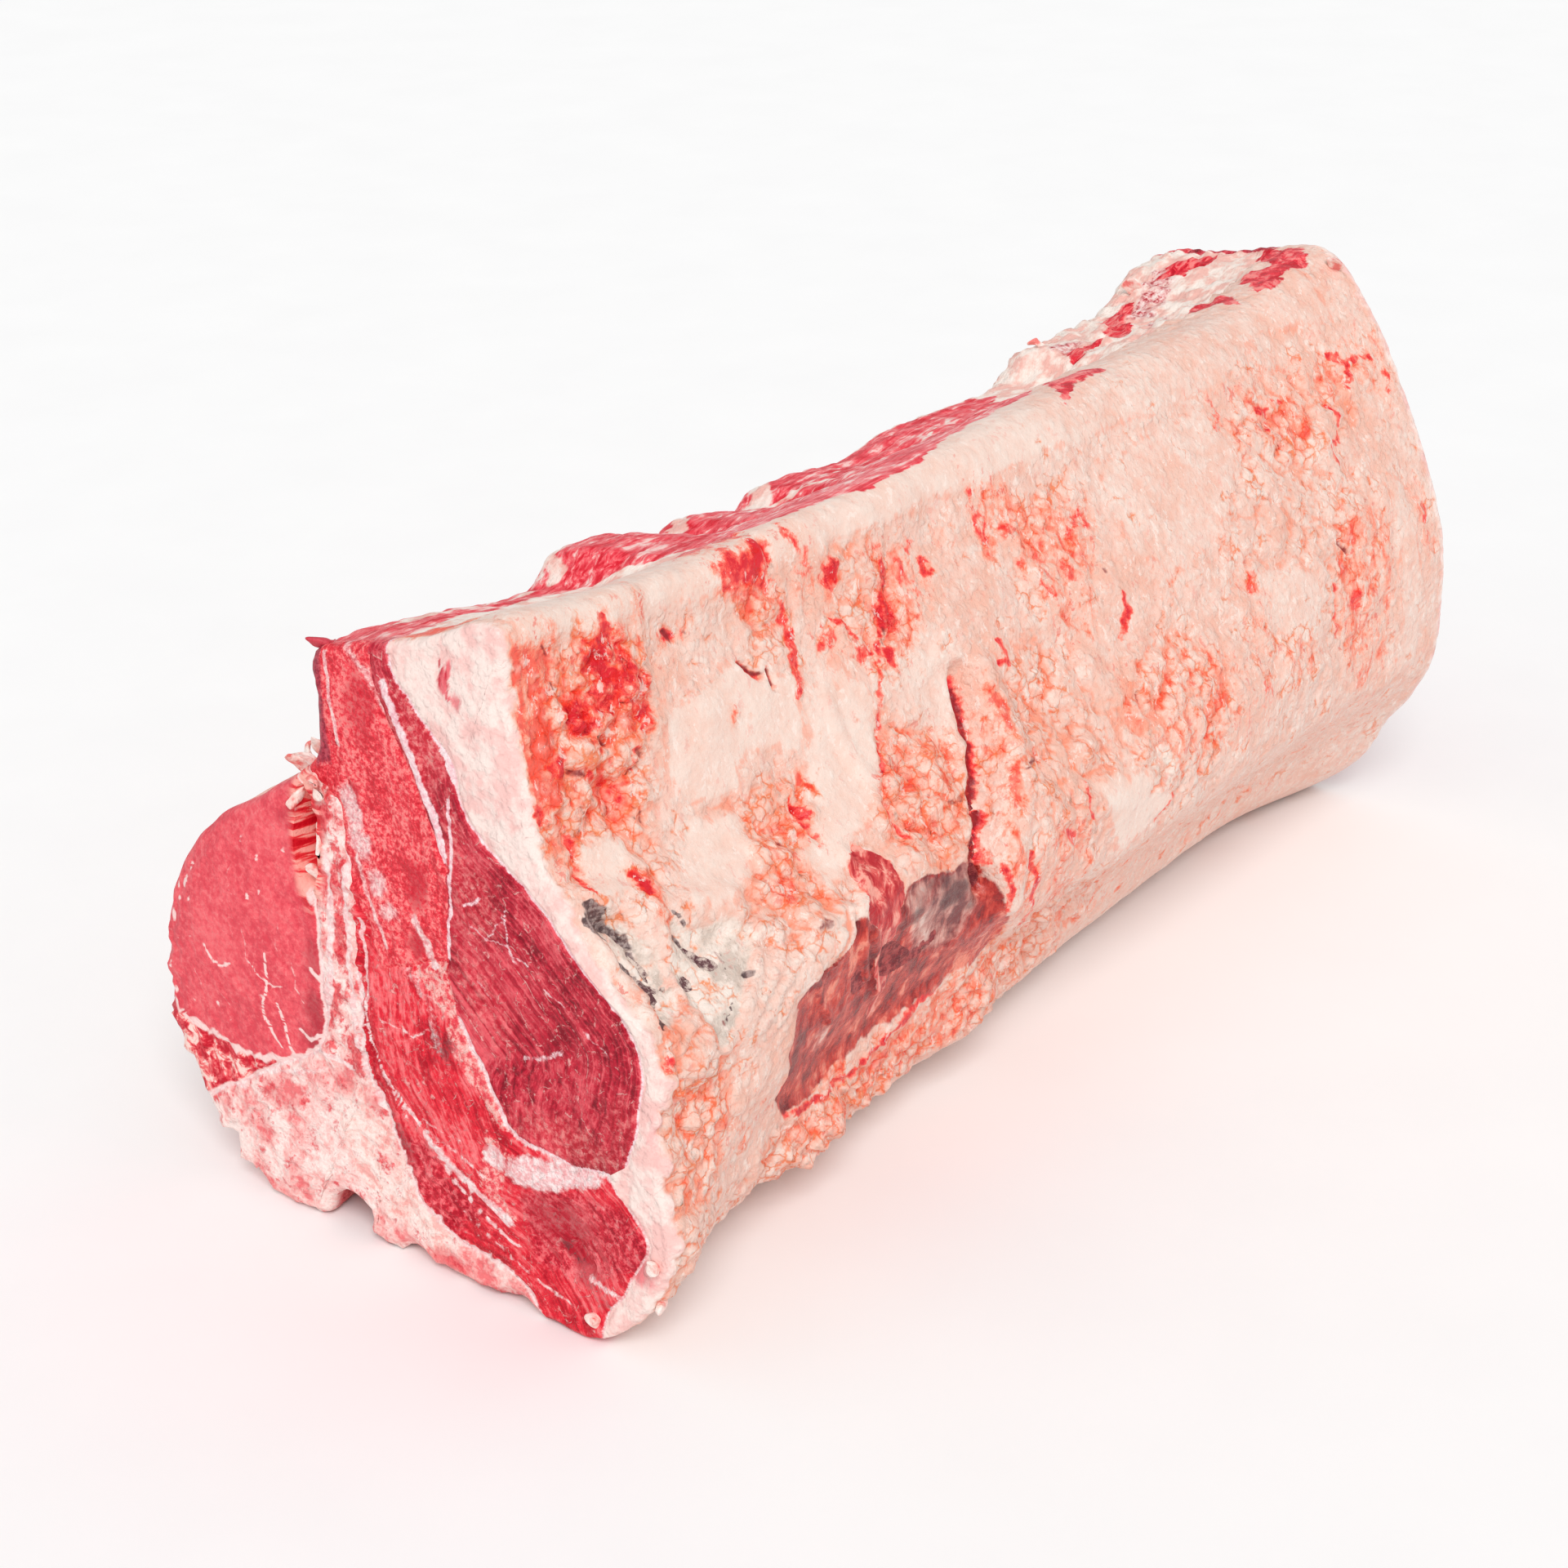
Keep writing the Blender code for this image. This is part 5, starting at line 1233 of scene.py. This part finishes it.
spine, p, x, y, z, du, dv = parted(
    "backbone_dressed", 70, flowing(PLATE_BACK), flowing(LOBE_SEAM), (120, -40),
    flowing(FASCIA, -1))
on_face, sawn = cut_faces(x, 4.0)
white = strokes(y + 0.6 * du, z + 0.6 * dv, GRISTLE_LINES) * on_face
paint(spine, red=ovals(y + du, z + dv, BLUSH) * on_face,
      white=np.maximum(white, sawn * seam_lines(p, 0.9, LOBE_SEAM, FASCIA)), sawn=sawn,
      hole=pocket_share(x, y, z), mixed=inside(y + du, z + dv, STRIPE, 1.5) * on_face,
      creamy=inside(y + du, z + dv, CREAM_BONE, 3.0) * on_face)
bone = Finish("backbone")
sponge = bone.clouds(1.7, 3.0, 0.72)
pore = bone.cells(1.4)
broad = bone.clouds(13.0, 4.0, 0.6)
rot = bone.clouds(5.0, 5.0, 0.7)
hide = bone.clouds(20.0, 6.0, 0.66, 0.6, bone.stretched(0.6, 1.0, 1.0))
bone_streak = bone.clouds(3.4, 6.0, 0.7, 0.9, bone.stretched(1.0, 1.0, 0.4))
sawn = bone.attribute("sawn")
pale_bone = (sponge * 0.2 + broad * 0.5 + rot * 0.3).ramp(
    (0.41, 240, 118, 120), (0.475, 252, 190, 184), (0.54, 255, 232, 225))
colour = (1 - sawn).tint(pale_bone, (hide * 0.8 + sponge * 0.2).ramp(
    (0.40, 252, 218, 206), (0.47, 247, 184, 170), (0.52, 238, 140, 130), (0.57, 214, 74, 78),
    (0.63, 178, 36, 50)))
colour = (bone.attribute("creamy") * 0.8).tint(colour, rot.ramp(
    (0.40, 249, 176, 168), (0.47, 254, 218, 208), (0.56, 255, 236, 228)))
blush = (bone.attribute("red") * 0.75 + (rot - 0.5) * 4.0 + (sponge - 0.5) * 1.2 - 0.12
         + bone.attribute("mixed") * (0.42 + (bone_streak - 0.5) * 3.0)).rise(0.1, 0.9)
colour = blush.tint(colour, sponge.ramp((0.4, 208, 26, 48), (0.6, 244, 110, 112)))
colour = (bone.frayed("white", 0.35, 0.8, (broad, 0.6)) * 0.9).tint(
    colour, sponge.ramp((0.4, 246, 196, 196), (0.6, 254, 238, 234)))
colour = (rot.rise(0.57, 0.66) * 0.4 * sawn).tint(colour, (226, 76, 84))
colour = pocket_colour(bone, colour, (0.42, 206, 16, 34), (0.5, 240, 66, 70), (0.56, 254, 178, 164))
bone.wear(colour, 0.46 + (sponge - 0.5) * 0.35,
          sponge * 0.5 + pore * 0.3 + broad * 0.5 + rot, 0.8, 0.08)
dress(spine, bone, "backbone")

# ================================================================= the tenderloin
# The small round muscle under the backbone's wing: smooth, pink-red and close
# grained at the cut, wrapped on its far side in thin fat and silver membrane.
VEINS = (
    (0.6, 0.8, (74, 79), (70, 75), (67, 74), (64, 76)), (0.5, 0.5, (92, 78), (86, 77), (80, 79)),
    (0.6, 0.9, (48, 84), (49, 77), (50, 71), (51, 64), (49, 58), (46, 54)),
    (0.5, 0.7, (55, 79), (50, 75), (46, 73), (42, 76)), (0.5, 0.6, (55, 69), (51, 70)),
    (0.6, 0.9, (45, 68), (44, 63), (43, 57), (40, 51)), (0.8, 0.9, (31, 84), (28, 81), (25, 76)),
    (0.7, 0.8, (38, 62), (34, 60), (31, 63), (26, 61)), (0.5, 0.6, (38, 84), (38, 77), (35, 72)),
    (0.5, 0.5, (58, 92), (56, 85), (57, 80)), (0.5, 0.5, (70, 66), (66, 62), (66, 56)),
    (0.5, 0.5, (80, 70), (77, 66), (77, 61)), (0.4, 0.5, (42, 96), (44, 90), (43, 84)),
    (0.6, 0.7, (35, 56), (38, 53), (44, 52)), (0.5, 0.5, (60, 108), (62, 103), (60, 99)))
SPECKS = (
    (81, 96, 1.3, 2.4, 20, 1.0), (88, 83, 1.1, 2.6, 0, 1.0), (56, 117, 0.9, 1.2, 0, 0.9),
    (54, 100, 0.9, 1.1, 0, 0.9), (71, 60, 1.0, 1.2, 0, 0.9), (74, 76, 0.8, 1.0, 0, 0.9),
    (78, 102, 1.0, 1.4, 0, 0.9), (30, 108, 2.2, 5, 0, 0.7), (84, 90, 1.0, 1.2, 0, 0.9),
    (85, 94, 1.1, 1.6, 0, 1.0), (79, 92, 0.9, 1.1, 0, 0.9), (64, 103, 0.8, 0.9, 0, 0.9),
    (50, 113, 0.8, 1.1, 0, 0.9), (49, 103, 0.8, 1.0, 0, 0.8), (68, 74, 0.8, 0.9, 0, 0.8),
    (82, 58, 0.9, 1.1, 0, 0.8), (61, 85, 0.7, 0.8, 0, 0.8), (91, 66, 0.9, 1.6, 0, 0.8),
    (40, 118, 0.9, 1.4, 0, 0.7), (90, 58, 1.2, 2.0, 0, 0.8), (44, 128, 0.8, 1.2, 0, 0.7))
BORDER = ((1.3, 1.0, (94, 58), (90, 52), (80, 49), (70, 48), (58, 47), (46, 50), (36, 55),
           (28, 60)),)
TORN = ((104, 60), (92, 52), (80, 49), (70, 48), (58, 47), (46, 50), (36, 55), (24, 62),
        (30, 40), (52, 30), (84, 10), (110, 40))
SHADOWS = ((31, 70, 4, 9, 0, 0.7), (36, 128, 6, 5, 0, 0.3), (32, 60, 6, 5, 0, 0.6),
           (30, 88, 4, 8, 0, 0.5), (88, 46, 6, 3, 0, 0.5))

lobe, p, x, y, z, du, dv = parted(
    "tenderloin_dressed", 80, flowing(LOBE_SEAM), (170, 20), (170, 190))
on_face, sawn = cut_faces(x, 4.0)
pale = np.maximum(strokes(y + 0.5 * du, z + 0.5 * dv, VEINS), ovals(y, z, SPECKS))
pale = np.maximum(pale, 0.8 * strokes(y + 1.4 * du, z + 1.4 * dv, BORDER)) * on_face
paint(lobe, torn=inside(y + 1.6 * du, z + 1.6 * dv, TORN, 1.0) * on_face,
      across=ease(y, 0, 100), along=z / 300.0, arcs=0.0 * y,
      pale=np.maximum(pale, sawn * seam_lines(p, 0.8, LOBE_SEAM)),
      dark=ovals(y + du, z + dv, SHADOWS) * on_face, sawn=sawn, hole=pocket_share(x, y, z))
lean, colour, relief, small, sheen = lean_finish(
    "tenderloin", (220, 68, 82), (235, 86, 97), (244, 106, 113), 1.4, 0.06)
wrap = lean.clouds(34.0, 5.0, 0.6, 0.4, lean.stretched(0.6, 1.0, 1.0))
strand = lean.clouds(5.0, 6.0, 0.68, 0.6, lean.stretched(0.3, 1.0, 1.0))
web = lean.cells(7.0, "DISTANCE_TO_EDGE", lean.bent(3.0, 6.0))
ragged = lean.clouds(5.5, 6.0, 0.7, 0.6)
wrapped = (1 - lean.attribute("sawn")) * (1 - lean.attribute("hole"))
colour = wrapped.tint(colour, (wrap * 0.6 + strand * 0.4).ramp(
    (0.40, 196, 50, 60), (0.445, 222, 96, 92), (0.475, 244, 160, 140), (0.51, 245, 192, 174),
    (0.55, 248, 216, 200)))
colour = ((1 - web.rise(0.0, 0.08)) * wrapped * small.rise(0.42, 0.6) * 0.6).multiplied(
    colour, (246, 180, 156))
colour = (lean.attribute("dark") * 0.8).tint(colour, (140, 16, 36))
colour = pocket_colour(lean, colour, (0.42, 206, 16, 34), (0.5, 238, 60, 66), (0.56, 254, 170, 158))
colour = lean.attribute("torn").tint(colour, ragged.ramp(
    (0.42, 196, 16, 40), (0.48, 228, 66, 78), (0.53, 246, 136, 132), (0.58, 253, 216, 206)))
colour = lean.frayed("pale", 0.35, 0.75, (small, 0.6)).tint(colour, (250, 214, 210))
lean.wear(colour, 0.44 + (sheen - 0.5) * 0.4,
          relief + (strand * 2.0 + web.rise(0.0, 0.3) * 0.3) * wrapped, 0.45, 0.06)
dress(lobe, lean, "tenderloin")

# ============================================================ scraps at the edges
# Tags of fat and membrane that the saw and the knife left hanging: above the pocket,
# at the tip of the bone, along the lower edge and at the far corner. Each is a soft
# tongue grown from the meat, bent over under its own weight.

# x, y, z of the root, where it points, how far it droops, length, width, thickness
TAGS = (
    (-213, 34, 143, (-0.1, 0.6, 0.7), 1.4, 11, 3.2, 1.1),
    (-216, 30, 146, (-0.1, 0.2, 1.0), 1.6, 9, 2.6, 1.0),
    (-210, 37, 142, (0.1, 0.9, 0.4), -1.0, 12, 2.4, 0.9),
    (-217, 27, 142, (-0.2, -0.3, 0.8), 1.8, 8, 3.0, 1.0),
    (-205, 35, 144, (0.3, 0.6, 0.8), 1.2, 9, 2.8, 0.9),
    (-216, 24, 138, (-0.2, -0.4, 0.6), 1.3, 8, 2.4, 0.9),
    (-217, 34, 138, (-0.3, 0.5, -0.6), 1.0, 10, 2.2, 0.8),
    (-217, 25, 128, (-0.3, -0.2, -1.0), 0.7, 12, 1.8, 0.8),
    (-217, 27, 112, (-0.3, 0.4, 0.8), 0.8, 8, 1.8, 0.8),
    (-216, 21, 181, (-0.2, 0.9, 0.4), 1.0, 7, 2.2, 1.0),
    (-212, 22, 179, (0.1, 1.0, 0.1), -1.1, 6, 1.8, 0.8),
    (-214, 76, 14, (0.1, 0.8, -0.4), 0.9, 6, 2.4, 1.0),
    (-215, -66, 6, (-0.2, -0.9, 0.3), 0.8, 7, 2.8, 1.2),
    (-214, -84, 21, (-0.1, -0.8, 0.1), 0.9, 6, 2.8, 1.2),
    (-216, -89, 33, (-0.1, -0.6, 0.7), 1.2, 7, 3.0, 1.3),
    (213, -44, 197, (0.3, -0.5, 0.8), 1.2, 8, 2.8, 1.1),
    (216, -38, 197, (0.1, -0.1, 1.0), 1.3, 6, 2.4, 1.0),
    (128, 22, 192, (0.1, 0.9, 0.5), 1.4, 7, 2.4, 0.9),
    (176, 18, 196, (0.2, 0.9, 0.4), 1.2, 7, 2.6, 0.9))

tongues = []
bm = bmesh.new()
for number, (rx, ry, rz, aim, droop, length, width, thick) in enumerate(TAGS):
    _, root, _, _ = whole.closest_point_on_mesh((Vector((rx, ry, rz)) + Vector(ORIGIN)) * MM)
    root = root / MM - Vector(ORIGIN)
    aim = Vector(aim).normalized()
    side = aim.cross(Vector((1.0, 0.2, 0.1))).normalized()
    up = side.cross(aim)
    ball = bmesh.ops.create_uvsphere(bm, u_segments=24, v_segments=20, radius=1.0)["verts"]
    for vert in ball:
        reach = (vert.co.z + 1.0) / 2.0
        bend = droop * reach
        ahead = length * (math.sin(bend) / droop) - 1.5
        over = length * ((1 - math.cos(bend)) / droop)
        wide = width * (1.0 - 0.4 * reach) * (1 + 0.2 * math.sin(7 * reach + 2 * number))
        vert.co = (root + aim * ahead - up * over
                   + side * (vert.co.x * wide) + up * (vert.co.y * thick * 1.7))
    tongues += ball
spots = np.array([vert.co[:] for vert in tongues])
shift = np.stack([1.6 * cloud(spots, 7.0, 100 + k) + 0.35 * cloud(spots, 2.6, 104 + k)
                  for k in range(3)], axis=-1)
spots = np.clip(spots + shift, LOW_CORNER + 0.3, HIGH_CORNER - 0.3)
for vert, spot in zip(tongues, ((spots + ORIGIN) * MM).tolist()):
    vert.co = spot
bmesh.ops.recalc_face_normals(bm, faces=bm.faces)
tags = made_of(bm, "edge_scraps")
bpy.data.objects.remove(whole)
paint(tags, raw=ease(spots[:, 2], 164, 170) * ease(-spots[:, 0], 150, 180))
shred = Finish("edge_scraps")
speck, lump = shred.clouds(1.6, 4.0, 0.65), shred.clouds(5.0, 4.0, 0.6)
colour = lump.ramp(
    (0.40, 242, 132, 126), (0.46, 250, 196, 186), (0.53, 253, 224, 214), (0.60, 255, 240, 232))
colour = shred.attribute("raw").tint(colour, (206, 62, 78))
shred.wear(colour, 0.42 + (speck - 0.5) * 0.4, speck * 0.8 + lump, 0.8, 0.12)
dress(tags, shred)

# =========================================================== floor, light, camera
# A plain pale table in a white studio: even light from all round, one broad soft
# lamp from over the camera's left shoulder, and the camera where the photograph
# was taken from.
FLOOR_HALF = 6.0
SKY_STRENGTH = 0.64
KEY_STRENGTH, KEY_SPREAD = 1.65, math.radians(26.0)
KEY_AIM = Vector((0.53, 0.47, -0.70))
AZIMUTH, ELEVATION = math.radians(-53.0), math.radians(25.0)
CAMERA_PLACE = (-0.73464, -0.52044, 0.4876)

bm = bmesh.new()
bmesh.ops.create_grid(bm, x_segments=1, y_segments=1, size=FLOOR_HALF)
floor = made_of(bm, "floor")
paper = Finish("floor")
paper.wear(paper.clouds(60.0, 3.0).ramp((0.3, 250, 250, 250), (0.7, 252, 252, 252)),
           0.9, 0.0, 0.1)
floor.data.materials.append(paper.material)

sky = bpy.data.worlds.new("studio")
sky.use_nodes = True
sky.node_tree.nodes["Background"].inputs[0].default_value = (1.0, 1.0, 1.0, 1.0)
sky.node_tree.nodes["Background"].inputs[1].default_value = SKY_STRENGTH
bpy.context.scene.world = sky
lamp = bpy.data.lights.new("key", "SUN")
lamp.angle = KEY_SPREAD
lamp.energy = KEY_STRENGTH
key = bpy.data.objects.new("key", lamp)
key.rotation_euler = KEY_AIM.to_track_quat("-Z", "Y").to_euler()
bpy.context.collection.objects.link(key)

back = Vector((math.sin(AZIMUTH) * math.cos(ELEVATION), -math.cos(AZIMUTH) * math.cos(ELEVATION),
               math.sin(ELEVATION)))
lens = bpy.data.cameras.new("camera")
lens.lens = 70.0
lens.sensor_width = 36.0
lens.clip_start = 0.01
camera = bpy.data.objects.new("camera", lens)
camera.location = CAMERA_PLACE
camera.rotation_euler = (-back).to_track_quat("-Z", "Y").to_euler()
bpy.context.collection.objects.link(camera)
bpy.context.scene.camera = camera
bpy.context.scene.view_settings.view_transform = "Standard"
